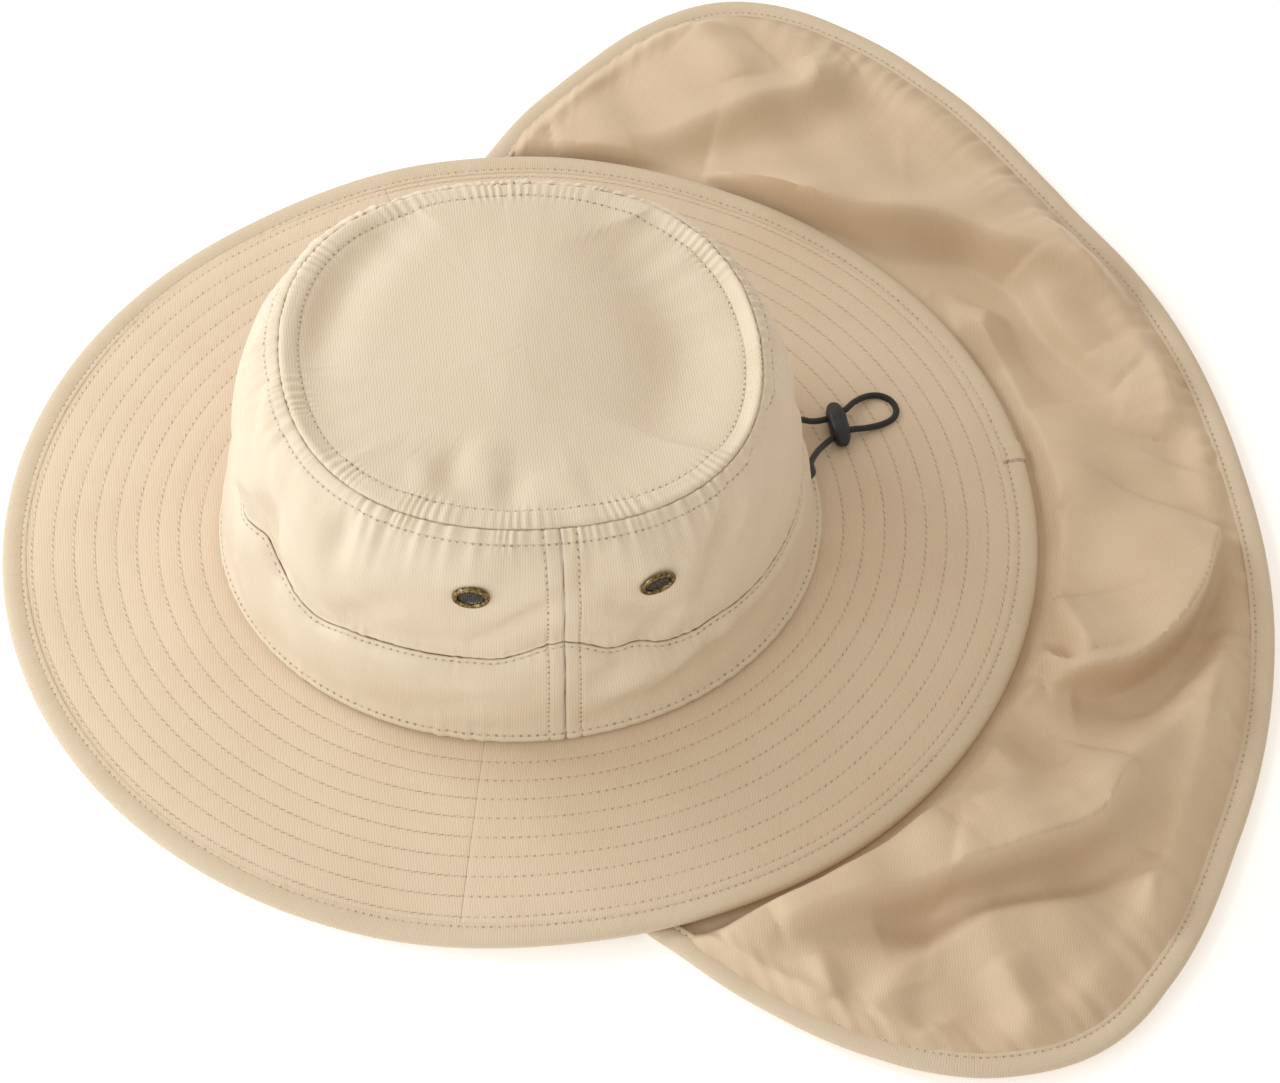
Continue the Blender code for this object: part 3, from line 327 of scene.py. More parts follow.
# Folds of the flap, in the same measures as those of the tip
FOLD_LEAN = 0.50
FOLDS = table(
    "name height left right sharpness points",
    ("far ridge", 11.5, 34, 11, 0.15,
         [(-164, 30), (-168, 53), (-170, 68), (-175, 89), (-183, 113),
          (-186, 123), (-194, 133), (-199, 145)]),
    ("far valley", -4, 14, 16, 0, [(-157, 59), (-161, 78), (-159, 105), (-157, 134), (-154, 157)]),
    ("long back ridge", 18, 26, 10, 0.15,
         [(-140, 79), (-133, 103), (-127, 122), (-120, 142), (-111, 172),
          (-102, 187), (-92, 205), (-81, 221), (-73, 231)]),
    ("back ridge branch", 8, 13, 8, 0.15, [(-95, 191), (-80, 197), (-68, 201), (-54, 209), (-42, 218)]),
    ("back valley", -7, 12, 10, 0,
         [(-109, 131), (-100, 148), (-94, 170), (-82, 185), (-59, 196), (-43, 208), (-38, 219)]),
    ("ridge by the brim", 5.5, 9, 6, 0.15, [(-81, 178), (-69, 173), (-57, 167)]),
    ("dark pocket by the brim", -6, 6, 6, 0, [(-87, 155), (-81, 161), (-72, 163)]),
    ("right shoulder ridge", 8.5, 8, 17, 0.2,
         [(-61, 225), (-51, 229), (-38, 232), (-27, 232), (-16, 229)]),
    ("right dip", -4, 8, 14, 0, [(-24, 237), (-11, 236), (-3, 232)]),
    ("middle dip", -4, 22, 22, 0, [(-5, 216), (16, 203), (32, 195), (49, 195)]),
    ("middle shelf", 6, 16, 16, 0, [(-35, 195), (-17, 198), (0, 191), (12, 186)]),
    ("sweeping left ridge", 21.5, 34, 6, 0.15,
         [(88, 169), (87, 179), (84, 198), (72, 216), (57, 228), (41, 237), (29, 245)]),
    ("crease at its start", -4, 3, 4, 0.2, [(80, 157), (78, 165), (79, 172), (83, 181)]),
    ("valley beyond it", -7, 8, 12, 0,
         [(90, 177), (91, 194), (85, 211), (72, 224), (54, 235), (37, 247)]),
    ("slit by the brim", -10, 3.5, 5, 0.2, [(45, 171), (57, 173), (67, 175), (74, 176)]),
    ("ridge right of the slit", 6.5, 12, 5, 0.15, [(48, 179), (62, 180), (73, 182)]),
    ("lip left of the slit", 3, 3, 5, 0.15, [(63, 167), (71, 169), (78, 174)]),
    ("small pocket", -7, 4, 6, 0.1, [(13, 178), (19, 179), (26, 176)]),
    ("its edge", 4, 8, 5, 0.2, [(14, 183), (23, 185), (32, 181)]),
    ("left crest", 11.5, 13, 40, 0.15,
         [(136, 127), (139, 141), (136, 160), (127, 180), (115, 200), (99, 216), (81, 229), (67, 237)]),
    ("curl by the brim", 5, 7, 6, 0.15, [(99, 145), (110, 148), (121, 149), (129, 142), (132, 132)]),
    ("dip right of the curl", -6, 6, 8, 0, [(89, 157), (106, 161), (117, 168)]),
    ("left shelf edge", 18.5, 44, 6.5, 0.15,
         [(176, 68), (170, 88), (165, 112), (160, 139), (156, 159), (151, 175), (141, 185), (131, 195)]),
    ("left valley", -6, 9, 9, 0,
         [(172, 98), (169, 117), (165, 142), (162, 165), (157, 184), (144, 197), (133, 210)]),
    ("left lower crest", 8.5, 8, 24, 0.15,
         [(202, 90), (193, 99), (186, 110), (180, 125), (175, 143), (173, 162), (165, 179), (154, 191)]),
    ("corner ridge one", 5, 7, 6, 0.15, [(192, 135), (203, 139), (216, 143)]),
    ("corner ridge two", 5.5, 9, 6, 0.15, [(165, 189), (175, 191), (186, 192)]),
    ("corner dip", -3.5, 7, 7, 0, [(196, 107), (204, 109), (209, 111)]),
    ("corner ridge three", 3.5, 5, 5, 0.3, [(180, 78), (189, 79), (195, 81)]),
    ("slope off the brim", 6, 10, 26, 0.1, [(170, 48), (162, 64), (149, 92), (131, 120)]),
    ("hem ridge far one", 3.5, 7, 5, 0.4, [(-132, 208), (-124, 217), (-118, 225)]),
    ("hem ridge far two", 4, 6, 5, 0.4, [(-112, 225), (-103, 233), (-95, 240)]),
    ("hem ridge right one", 4, 6, 5, 0.4, [(-63, 242), (-52, 247), (-43, 250)]),
    ("hem ridge right two", 4, 7, 5, 0.4, [(-18, 242), (-10, 248), (0, 251)]),
    ("far corner swell", 4, 12, 12, 0.1, [(-220, 86), (-209, 96), (-194, 101)]),
    ("far corner crease", 4, 8, 7, 0.3, [(-204, 126), (-193, 129), (-183, 125)]),
)

# Colours of each cloth: plain, and a darker tone for random unevenness, from which the painted shade of
# needle holes and seams is made
CLOTHS = {
    "crown": ((0.800, 0.690, 0.535), (0.745, 0.620, 0.462)),
    "brim": ((0.768, 0.626, 0.472), (0.714, 0.560, 0.408)),
    "flap": ((0.700, 0.548, 0.386), (0.632, 0.470, 0.312)),
    "tape": ((0.735, 0.615, 0.460), (0.675, 0.545, 0.395)),
}

FLOOR_HALF = 6.0
FLOOR_GLOW = 0.33
WORLD_COLOUR = (1.0, 0.91, 0.80, 1.0)
WORLD_STRENGTH = 0.64
LAMPS = table(
    "name direction distance size power colour",
    ("key right", (-0.60, -1.0, 0.80), 1.4, 0.7, 8.8, (0.90, 0.96, 1.0)),
    ("key left", (0.60, -1.0, 0.60), 1.4, 0.9, 5.6, (0.90, 0.96, 1.0)),
    ("fill", (-1.0, 0.0, 0.8), 1.6, 1.0, 1.3, (1.0, 0.82, 0.76)),
)

HAT_LOW, HAT_HIGH = (Vector(corner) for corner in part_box("brim_edge_tape"))
HAT_CENTRE = Vector(((HAT_LOW.x + HAT_HIGH.x) / 2, (HAT_LOW.y + HAT_HIGH.y) / 2, 0.0))
HAT_FRAME = Matrix.Translation(HAT_CENTRE)


# Curves and waves

def ease(share):
    """Smooth step from 0 to 1."""
    share = np.clip(share, 0.0, 1.0)
    return share * share * (3 - 2 * share)


def bell(distance, width):
    """Soft bump of height 1."""
    return np.exp(-(distance / width) ** 2)


def turn_gap(turn_a, turn_b):
    """Signed difference between two turns, within half a turn."""
    return (turn_a - turn_b + 180.0) % 360.0 - 180.0


def column(rows, name):
    """One named column of a table."""
    return np.array([getattr(row, name) for row in rows], dtype=float)


def between_rows(turns, turn):
    """Number of the row before a turn, and the share of the way to the next row."""
    index = np.clip(np.searchsorted(turns, turn) - 1, 0, len(turns) - 2)
    return index, np.clip((turn - turns[index]) / (turns[index + 1] - turns[index]), 0.0, 1.0)


def eased_between(rows, turn, name):
    """Value of a column of a table of turns all round, eased between its rows."""
    turns = column(rows, "turn")
    values = column(rows, name)
    index, share = between_rows(turns, (np.asarray(turn, dtype=float) - turns[0]) % 360.0 + turns[0])
    return values[index] + (values[index + 1] - values[index]) * ease(share)


def smooth_through(values, position):
    """Catmull-Rom values at positions along evenly numbered values."""
    values = np.asarray(values) + 0.0
    index = np.clip(np.floor(position).astype(int), 0, len(values) - 2)
    share = position - index
    before = values[np.maximum(0, index - 1)]
    start = values[index]
    end = values[index + 1]
    after = values[np.minimum(len(values) - 1, index + 2)]
    square = share * share
    cube = square * share
    return (start * (2 * cube - 3 * square + 1) + (end - before) / 2 * (cube - 2 * square + share)
            + end * (3 * square - 2 * cube) + (after - start) / 2 * (cube - square))


def smooth_at(rows, turn):
    """Catmull-Rom values of a table whose turns are uneven."""
    index, share = between_rows(column(rows, "turn"), turn)
    return smooth_through(column(rows, "value"), index + share)


def segment_distance(places, start, end):
    """Distances from places to a stretch, shares along it, and sides from 1 on its left to -1."""
    run = end - start
    share = np.clip(((places - start) * np.conj(run)).real / max(abs(run) ** 2, 1e-12), 0.0, 1.0)
    off = places - start - run * share
    distance = np.abs(off)
    return distance, share, (np.conj(run) * off).imag / np.maximum(abs(run) * distance, 1e-12)


def ripple(distance, length, seed):
    """Uneven wave of about a length, from about -1 to 1, that is the same in each run."""
    phase = distance * 2 * np.pi / length
    total = 0.0
    for index in range(5):
        rate = 0.62 + 0.21 * index + 0.07 * math.sin(seed * 1.7 + index * 2.3)
        total = total + np.sin(phase * rate + seed * 2.1 + index * 1.9)
    return total * 0.36


def spread_to_ends(count, crowding):
    """Values from 0 to 1 that lie closer together at both ends."""
    share = np.linspace(0.0, 1.0, count)
    return share - crowding * np.sin(2 * np.pi * share) / (2 * np.pi)


def fold_shape(folds, places, lean=0.0):
    """Height of ridges and valleys at plan places, and how far each place leans.

    A ridge leans over its narrow side, by a share of its height.
    """
    rise = np.zeros(places.shape)
    shift = np.zeros(places.shape, dtype=complex)
    for fold in folds:
        fine = np.linspace(0.0, len(fold.points) - 1.0, 4 * len(fold.points))
        route = smooth_through([complex(*point) * MM for point in fold.points], fine)
        ahead = np.gradient(route)
        right = -1j * ahead / np.abs(ahead)
        narrow = 1 - min(fold.left, fold.right) / max(fold.left, fold.right)
        over = max(0.0, fold.height) * MM * lean * narrow * (1.0 if fold.right < fold.left else -1.0)
        route = route - over * right
        nearest = np.full(places.shape, np.inf)
        along, beside, way = 0.0, 0.0, 0.0
        for index in range(len(fine) - 1):
            distance, share, side = segment_distance(places, route[index], route[index + 1])
            closer = distance < nearest
            nearest = np.where(closer, distance, nearest)
            along = np.where(closer, (index + share) / (len(fine) - 1), along)
            beside = np.where(closer, side, beside)
            way = np.where(closer, right[index], way)
        width = (fold.right + (fold.left - fold.right) * (0.5 + 0.5 * beside)) * MM
        rounded = (1 - fold.sharpness) * bell(nearest, width)
        profile = rounded + fold.sharpness * np.exp(-1.6 * nearest / width)
        profile = profile * (0.15 + 0.85 * np.sin(np.pi * np.clip(along, 0.0, 1.0)) ** 0.6)
        rise = rise + fold.height * MM * profile
        shift = shift + over * way * profile
    return rise, shift


# Crown surface

HEIGHTS, SIDES, FRONTS, BACKS = (column(SECTIONS, name) for name in ("height", "side", "front", "back"))


def waist_share(height, turn):
    """Height share moved with the wavy seam round the waist."""
    waist = SECTIONS[WAIST_ROW].height
    seam = waist * eased_between(WAIST_SEAM, turn, "value")
    below = height * (1 + (seam / waist - 1) * ease(height / waist))
    above = height + (seam - waist) * (1 - ease((height - waist) / (1 - waist)))
    return np.where(height < waist, below, above)


def crown_dent(dents, turn, height):
    """Inward depth of the dents at places on the crown's side."""
    depth = 0.0
    degree = math.radians(HALF_LENGTH) / CROWN_HEIGHT
    for dent in dents:
        end = turn_gap(dent.turn_b, dent.turn_a) * degree + 1j * dent.height_b
        places = turn_gap(turn, dent.turn_a) * degree + 1j * height
        distance, share, _ = segment_distance(places, 1j * dent.height_a, end)
        depth = depth + dent.depth * (1 - 0.5 * np.abs(2 * share - 1)) * bell(distance, dent.width)
    return depth * CROWN_HEIGHT


def eyelet_lean(turn, height):
    """Outward lean of the cloth round the eyelets: out above each and in below it."""
    out = 0.0
    for eyelet in EYELETS:
        eyelet_height = waist_share(smooth_through(HEIGHTS, np.array(eyelet.row)), eyelet.turn)
        above = (height - eyelet_height) * CROWN_HEIGHT
        beside = np.radians(turn_gap(turn, eyelet.turn)) * HALF_WIDTH
        out = out + EYELET_LEAN * above * bell(np.hypot(above, beside), 10 * MM)
    return out


def crown_crumple(angle, height):
    """Shallow unevenness of the crown's cloth."""
    x = np.cos(angle) * HALF_WIDTH
    y = np.sin(angle) * HALF_LENGTH
    z = height * CROWN_HEIGHT
    wide = ripple(0.55 * x + 0.80 * y + 0.45 * z, 34 * MM, 41)
    narrow = ripple(0.75 * x - 0.60 * y + 0.85 * z, 25 * MM, 43)
    return 0.80 * MM * wide + 0.65 * MM * narrow + 0.8 * MM * wide * narrow


def crown_point(turn, row, creased=True):
    """Places on the outside of the crown, for turns and rows of the sections."""
    angle = np.radians(turn)
    height = smooth_through(HEIGHTS, row)
    end = np.where(np.sin(angle) < 0, smooth_through(FRONTS, row), smooth_through(BACKS, row))
    upper = np.minimum(1.0, height)
    corners = 1 - ROUND_CORNERS * upper * np.cos(4 * angle)
    share = waist_share(height, turn)
    on_wall = ease((row - 1) / 2) * ease(TIP_SEAM_ROW - row)
    inward = crown_dent(DENTS, turn, share) * on_wall
    if creased:
        creases = CREASE_STRENGTH * crown_dent(CREASES, turn, share) + crown_crumple(angle, share)
        inward = inward + creases * on_wall - eyelet_lean(turn, share)
    x = (smooth_through(SIDES, row) * HALF_WIDTH * corners - inward) * np.cos(angle)
    y = (end * HALF_LENGTH * corners - inward) * np.sin(angle)
    z = BASE_HEIGHT + CLEARANCE + share * CROWN_HEIGHT + (CROWN_LEAN * x - CROWN_TILT * y) * upper
    z = z + fold_shape(TIP_FOLDS, x + 1j * y)[0] * ease((row - TIP_SEAM_ROW) / 1.4)
    return np.stack([x, y, z], axis=-1)


def grid_normals(points, closed=False):
    """Unit directions across a grid of points, rows first and turns second."""
    if closed:
        around = np.roll(points, -1, axis=1) - np.roll(points, 1, axis=1)
    else:
        around = np.gradient(points, axis=1)
    normal = np.cross(around, np.gradient(points, axis=0))
    return normal / np.maximum(np.linalg.norm(normal, axis=-1, keepdims=True), 1e-12)


def crown_spot(turn, row, turn_step, row_step, creased=True):
    """Place on the crown and the direction out of it, from places a step away on each side."""
    turns, rows = np.meshgrid(turn + turn_step * np.arange(-1, 2), row + row_step * np.arange(-1, 2))
    points = crown_point(turns, rows, creased)
    return Vector(points[1, 1]), Vector(grid_normals(points)[1, 1])


def lengths_along(points, axis):
    """Lengths along the lines of a grid, from its first row or column."""
    steps = np.diff(points, axis=axis, prepend=np.take(points, [0], axis=axis))
    return np.cumsum(np.linalg.norm(steps, axis=-1), axis=axis)


def lifted(plan, height):
    """Points over plan places, at heights."""
    return np.stack(np.broadcast_arrays(plan.real, plan.imag, height), axis=-1)


# Meshes

def quads(index):
    """Faces of a grid of vertex numbers."""
    corners = [index[:-1, :-1], index[:-1, 1:], index[1:, 1:], index[1:, :-1]]
    return np.stack(corners, axis=-1).reshape(-1, 4).tolist()


def tube_faces(stations, sides, loop=False, ends=True, start=0):
    """Faces of a tube of rings, which is a loop, has end faces, or is open."""
    index = np.arange(stations * sides).reshape(stations, sides) + start
    wrapped = np.column_stack([index, index[:, 0]])
    if loop:
        return quads(np.vstack([wrapped, wrapped[:1]]))
    return quads(wrapped) + ([index[0, ::-1].tolist(), index[-1].tolist()] if ends else [])


def link_object(name, data):
    """New object in the scene."""
    thing = bpy.data.objects.new(name, data)
    bpy.context.scene.collection.objects.link(thing)
    return thing


def mesh_object(name, vertices, faces, attributes=None, smooth_angle=50.0, placed=HAT_FRAME):
    """Object from vertices in a placed frame, with faces and its own values for the material."""
    mesh = bpy.data.meshes.new(name)
    mesh.from_pydata(vertices.reshape(-1, 3).tolist(), [], faces)
    mesh.transform(placed)
    for key, values in (attributes or {}).items():
        layer = mesh.attributes.new(key, "FLOAT", "POINT")
        layer.data.foreach_set("value", np.asarray(values, dtype=np.float32).ravel())
    mesh.shade_smooth()
    mesh.set_sharp_from_angle(angle=math.radians(smooth_angle))
    return link_object(name, mesh)


def wall_object(name, outer, inner, attributes=None, closed=False):
    """Thin wall between two grids of points. One that closes round has a cap on each side."""
    count = outer.shape[0] * outer.shape[1]
    front = np.arange(count).reshape(outer.shape[:2])
    top = front[-1]
    if closed:
        front = np.column_stack([front, front[:, 0]])
    back = front + count
    faces = quads(front) + [face[::-1] for face in quads(back)] + quads(np.stack([back[0], front[0]]))
    if closed:
        faces += [top.tolist(), (top[::-1] + count).tolist()]
    else:
        faces += quads(np.stack([front[-1], back[-1]]))
        faces += quads(np.stack([back[:, 0], front[:, 0]], axis=1))
        faces += quads(np.stack([front[:, -1], back[:, -1]], axis=1))
    doubled = {key: np.tile(values.ravel(), 2) for key, values in (attributes or {}).items()}
    return mesh_object(name, np.concatenate([outer, inner]), faces, doubled)


def tube_object(name, rings, attributes=None, loop=False, smooth_angle=60.0, placed=HAT_FRAME):
    """Solid through rings of points, one ring for each station."""
    return mesh_object(name, rings, tube_faces(*rings.shape[:2], loop), attributes, smooth_angle, placed)


# Crown pieces

def seam_profile(distance, row_at, roll=0.28 * MM):
    """Cloth turned in at a seam, its roll up to the stitch row, and the row's dimple."""
    turned_in = -0.34 * MM * bell(distance, 0.45 * MM)
    swell = roll * np.sin(np.pi * np.clip(distance / row_at, 0.0, 1.0))
    return turned_in + swell - 0.20 * MM * bell(distance - row_at, 0.65 * MM)


def seam_puckers(around, distance, reach, length, size, seed):
    """Small upright folds that fade away from a seam."""
    fading = np.exp(-np.maximum(0.0, distance - reach) / reach)
    uneven = 0.55 + 0.45 * ripple(around, 9 * length, seed + 3)
    return size * fading * uneven * ripple(around, length, seed)


def gathers(around, distance, reach, seed):
    """Small gathers across a seam, from the seam to a little past its stitch row."""
    phase = around * 2 * np.pi / GATHER_PITCH + 3.2 * ripple(around, 27 * MM, seed)
    strength = np.clip(0.40 + 0.85 * ripple(around, 46 * MM, seed + 5), 0.06, 1.0)
    return GATHER_DEPTH * np.sin(phase) * strength * (1 - ease((distance - reach + 1.0 * MM) / (4.5 * MM)))


def crown_cloth(name, base, rise, values, closed=False):
    """Crown piece: a base surface raised across itself, with a wall behind it."""
    normal = grid_normals(base, closed)
    outer = base + normal * rise[..., None]
    inner = base + normal * (np.minimum(rise, 0.0) - 0.8 * CROWN_WALL)[..., None]
    return wall_object(name, outer, inner, {key: value / MM for key, value in values.items()}, closed)


def crown_band(name, start, end, low, high, columns, row_count, shape):
    """Panel of the crown's side, with the seams and stitch rows that shape gives it."""
    trim = math.degrees(CLEARANCE / 2 / HALF_WIDTH)
    turns = start + trim + (end - start - 2 * trim) * spread_to_ends(columns, 0.6)
    base = crown_point(*np.meshgrid(turns, low + (high - low) * spread_to_ends(row_count, 0.72)))
    up = lengths_along(base, 0)
    down = up[-1:] - up
    along = lengths_along(base, 1)
    side = np.minimum(along, along[:, -1:] - along)
    around = np.broadcast_to(along[row_count // 2], along.shape)
    rise = shape(around, up, down) + seam_profile(side, SIDE_ROW, 0.16 * MM)
    return crown_cloth(name, base, rise, {"around": around, "up": up, "down": down, "side": side})


def lower_shape(around, up, down):
    """Rise of the lower band: welt at the base and turned edge at the waist."""
    welt = 0.75 * MM * np.sin(np.pi * np.clip(up / BASE_ROW, 0.0, 1.0)) ** 0.8
    rise = welt + seam_profile(up, BASE_ROW, 0.0) + seam_profile(down, WAIST_ROW_BELOW, 0.30 * MM)
    rise = rise + seam_puckers(around, up, BASE_ROW * 1.2, 6.5 * MM, 0.20 * MM, 11)
    return rise + seam_puckers(around, down, 3.0 * MM, 4.4 * MM, 0.22 * MM, 13)


def upper_shape(around, up, down):
    """Rise of the upper band: edge at the waist, puckers and row under the tip seam."""
    rise = seam_profile(up, 2.2 * MM, 0.10 * MM) + seam_profile(down, TIP_ROW_BELOW, 0.30 * MM)
    rise = rise + seam_puckers(around, up, 3.0 * MM, 4.8 * MM, 0.24 * MM, 17)
    rise = rise + gathers(around, down, TIP_ROW_BELOW, 19)
    return rise + seam_puckers(around, down, 8.0 * MM, 7.0 * MM, 0.50 * MM, 23)


def make_tip():
    """Round top of the crown, with its rolled and puckered seam edge."""
    turns = np.linspace(180.0, 540.0, TIP_COLUMNS, endpoint=False)
    low = TIP_SEAM_ROW + 0.008
    rows = low + (len(SECTIONS) - 1 - low) * np.linspace(0.0, 1.0, TIP_ROWS) ** 1.5
    base = crown_point(*np.meshgrid(turns, rows))
    up = lengths_along(base, 0)
    around = np.broadcast_to(np.radians(turns) * TIP_RADIUS, up.shape)
    rise = seam_profile(up, TIP_ROW_INSIDE, 0.15 * MM) + gathers(around, up, TIP_ROW_INSIDE, 29)
    calm = ease(3 - up / (14 * MM))
    rise = rise + seam_puckers(around, up, 13.0 * MM, 17.0 * MM, 0.24 * MM, 31) * calm
    return crown_cloth("crown_tip_cloth", base, rise, {"around": around, "up": up}, closed=True)


def make_crown():
    """Five crown pieces by name."""
    pieces = {"crown_tip": make_tip()}
    lower = (0.0, WAIST_ROW - 0.01, LOWER_COLUMNS, LOWER_ROWS, lower_shape)
    upper = (WAIST_ROW + 0.01, TIP_SEAM_ROW - 0.006, UPPER_COLUMNS, UPPER_ROWS, upper_shape)
    for side, start, end in (("front", -180 - SIDE_SEAM, SIDE_SEAM), ("back", SIDE_SEAM, 180 - SIDE_SEAM)):
        for name, band in (("crown_lower_" + side, lower), ("crown_upper_" + side, upper)):
            pieces[name] = crown_band(name + "_cloth", start, end, *band)
    return pieces


# Brim

def brim_place(turn, reach):
    """Plan places on the brim, from 0 at the crown to 1 at its edge."""
    angle = np.radians(turn)
    width = BRIM_WIDTH * reach
    return (HALF_WIDTH + width) * np.cos(angle) + 1j * (HALF_LENGTH + width) * np.sin(angle)


def brim_lift(turn):
    """Height of the underside of the brim's edge tape above the floor."""
    polar = np.degrees(np.angle(brim_place(turn, 1.0)))
    on_flap = eased_between(BRIM_RESTS, polar, "on_flap")
    return on_flap * LIFT_ON_FLAP + eased_between(BRIM_RESTS, polar, "on_hem") * LIFT_ON_HEM


def brim_top(turn, reach):
    """Height of the brim's upper side. It is level under the edge tape."""
    level_from = 1 - (TAPE_WIDTH + 2 * TAPE_STEP) / BRIM_WIDTH
    edge = brim_lift(turn) + TAPE_STEP + BRIM_THICKNESS
    share = np.clip(reach / level_from, 0.0, 1.0)
    return BASE_HEIGHT * (1 - share) + edge * share


def brim_rise(turn, across):
    """Pillows between the stitch rows and soft waves of the brim."""
    between = np.abs(np.sin(np.pi * (across - BRIM_ROW_FIRST) / BRIM_ROW_PITCH)) ** 0.7
    pillow = 0.20 * MM * between - 0.06 * MM
    wave = 0.35 * MM * (1 + np.sin(np.radians(turn * 3 + 40) + across * 30))
    wave = wave + 0.25 * MM * (1 + np.sin(np.radians(turn * 7 - 60) - across * 70))
    return pillow + wave * ease(across / (20 * MM)) * ease((BRIM_WIDTH - across) / (16 * MM))


def make_brim_panel(name, start, end):
    """Stitched half of the brim between its two seams."""
    trim = math.degrees(BUTTED / HALF_WIDTH)
    turns = start + trim + (end - start - 2 * trim) * spread_to_ends(BRIM_COLUMNS, 0.3)
    step = BRIM_ROW_PITCH / BRIM_STEPS_BETWEEN_ROWS
    count = (BRIM_ROWS + 1) * BRIM_STEPS_BETWEEN_ROWS - 3
    lines = np.concatenate([BRIM_INNER_LINES, BRIM_ROW_FIRST - BRIM_ROW_PITCH + step * np.arange(count)])
    lines = lines[lines < BRIM_WIDTH - 1.6 * MM]
    turn_grid, across = np.meshgrid(turns, lines[::-1])
    plan = brim_place(turn_grid, across / BRIM_WIDTH)
    top = brim_top(turn_grid, across / BRIM_WIDTH)
    around = lengths_along(lifted(plan, 0.0), 1)
    side = np.minimum(around, around[:, -1:] - around)
    calm = ease(across / (3 * MM))
    rise = brim_rise(turn_grid, across) * calm - 0.10 * MM * bell(side, 0.7 * MM)
    puckers = 0.05 * MM * ripple(around, STITCH_PITCH, 5) * calm
    upper = lifted(plan, top + rise + puckers)
    lower = lifted(plan, top + np.minimum(rise, 0.2 * MM) - 0.7 * BRIM_THICKNESS)
    from_first = across - BRIM_ROW_FIRST
    off_row = from_first - np.maximum(0.0, np.round(from_first / BRIM_ROW_PITCH)) * BRIM_ROW_PITCH
    return wall_object(name, upper, lower, {"around": around / MM, "off_row": np.abs(off_row) / MM})


def tape_rings(plan, inward, middle, half, run):
    """Rings of a tape folded round a cloth edge, and their values for the material."""
    along = column(TAPE_OUTLINE, "along") * MM
    rise = column(TAPE_OUTLINE, "rise") * MM
    pucker = 0.10 * MM * ripple(run, 1.9 * STITCH_PITCH, 41)[:, None] * bell(along - TAPE_ROW, 1.6 * MM)
    height = middle[:, None] + rise + np.sign(rise) * half + pucker * (rise > 0)
    rings = lifted(plan[:, None] + inward[:, None] * along, height)
    across = np.tile(column(TAPE_OUTLINE, "across"), len(plan))
    return rings, {"around": np.repeat(run / MM, len(along)), "across": across}


def make_brim_tape():
    """Binding round the brim, with its lapped joint at the back."""
    reach = 1 - TAPE_STEP / BRIM_WIDTH
    turns = TAPE_JOINT_TURN + np.linspace(0.0, 360.0, TAPE_STATIONS, endpoint=False)
    plan = brim_place(turns, reach)
    ahead = np.roll(plan, -1) - np.roll(plan, 1)
    inward = 1j * ahead / np.abs(ahead)
    middle = brim_top(turns, reach) - BRIM_THICKNESS / 2 - 0.25 * MM
    run = lengths_along(lifted(plan, 0.0), 0)
    rings, values = tape_rings(plan, inward, middle, 0.30 * MM, run)
    lap = 0.55 * MM * (1 - ease((run - 7 * MM) / (1.2 * MM)))
    on_top = rings[..., 2:] > middle[:, None, None]
    rings = rings + lifted(-inward, 0.9)[:, None, :] * lap[:, None, None] * on_top
    return tube_object("brim_edge_tape_cloth", rings, values, loop=True)


# Flap

def in_plan(radius, turn):
    """Plan places at radii and turns."""
    return radius * np.exp(1j * np.radians(turn))


def ellipse_radius(half_width, half_length, turn):
    """Radius of an ellipse in plan directions."""
    angle = np.radians(turn)
    return 1 / np.hypot(np.cos(angle) / half_width, np.sin(angle) / half_length)


def crown_radius(turn):
    """Radius of the crown's base in plan directions."""
    return ellipse_radius(HALF_WIDTH, HALF_LENGTH, turn)


def brim_radius(turn):
    """Radius of the brim's edge in plan directions."""
    return ellipse_radius(HALF_WIDTH + BRIM_WIDTH, HALF_LENGTH + BRIM_WIDTH, turn)


def hem_radius(turn):
    """Radius of the flap's cloth edge in plan directions."""
    return brim_radius(turn) * smooth_at(HEM, turn) - TAPE_STEP


def hem_wave(turn):
    """Slow wave of the hem above its rest."""
    wave = 0.9 * MM * (1 + ripple(np.radians(turn), 2 * np.pi / 9, 3))
    return wave * ease((turn - 12) / 12) * ease((176 - turn) / 12)


def flap_waves(places):
    """Low waves that cross the whole flap."""
    x = places.real
    y = places.imag
    waves = 3.4 * MM + 1.6 * MM * np.sin(x * 62 + y * 31 + 0.8) + 1.3 * MM * np.sin(x * 45 - y * 88)
    small = ripple(x * 150 + y * 60, 2 * np.pi, 51) + ripple(x * 50 - y * 160, 2 * np.pi, 53)
    return waves + 0.9 * MM * small


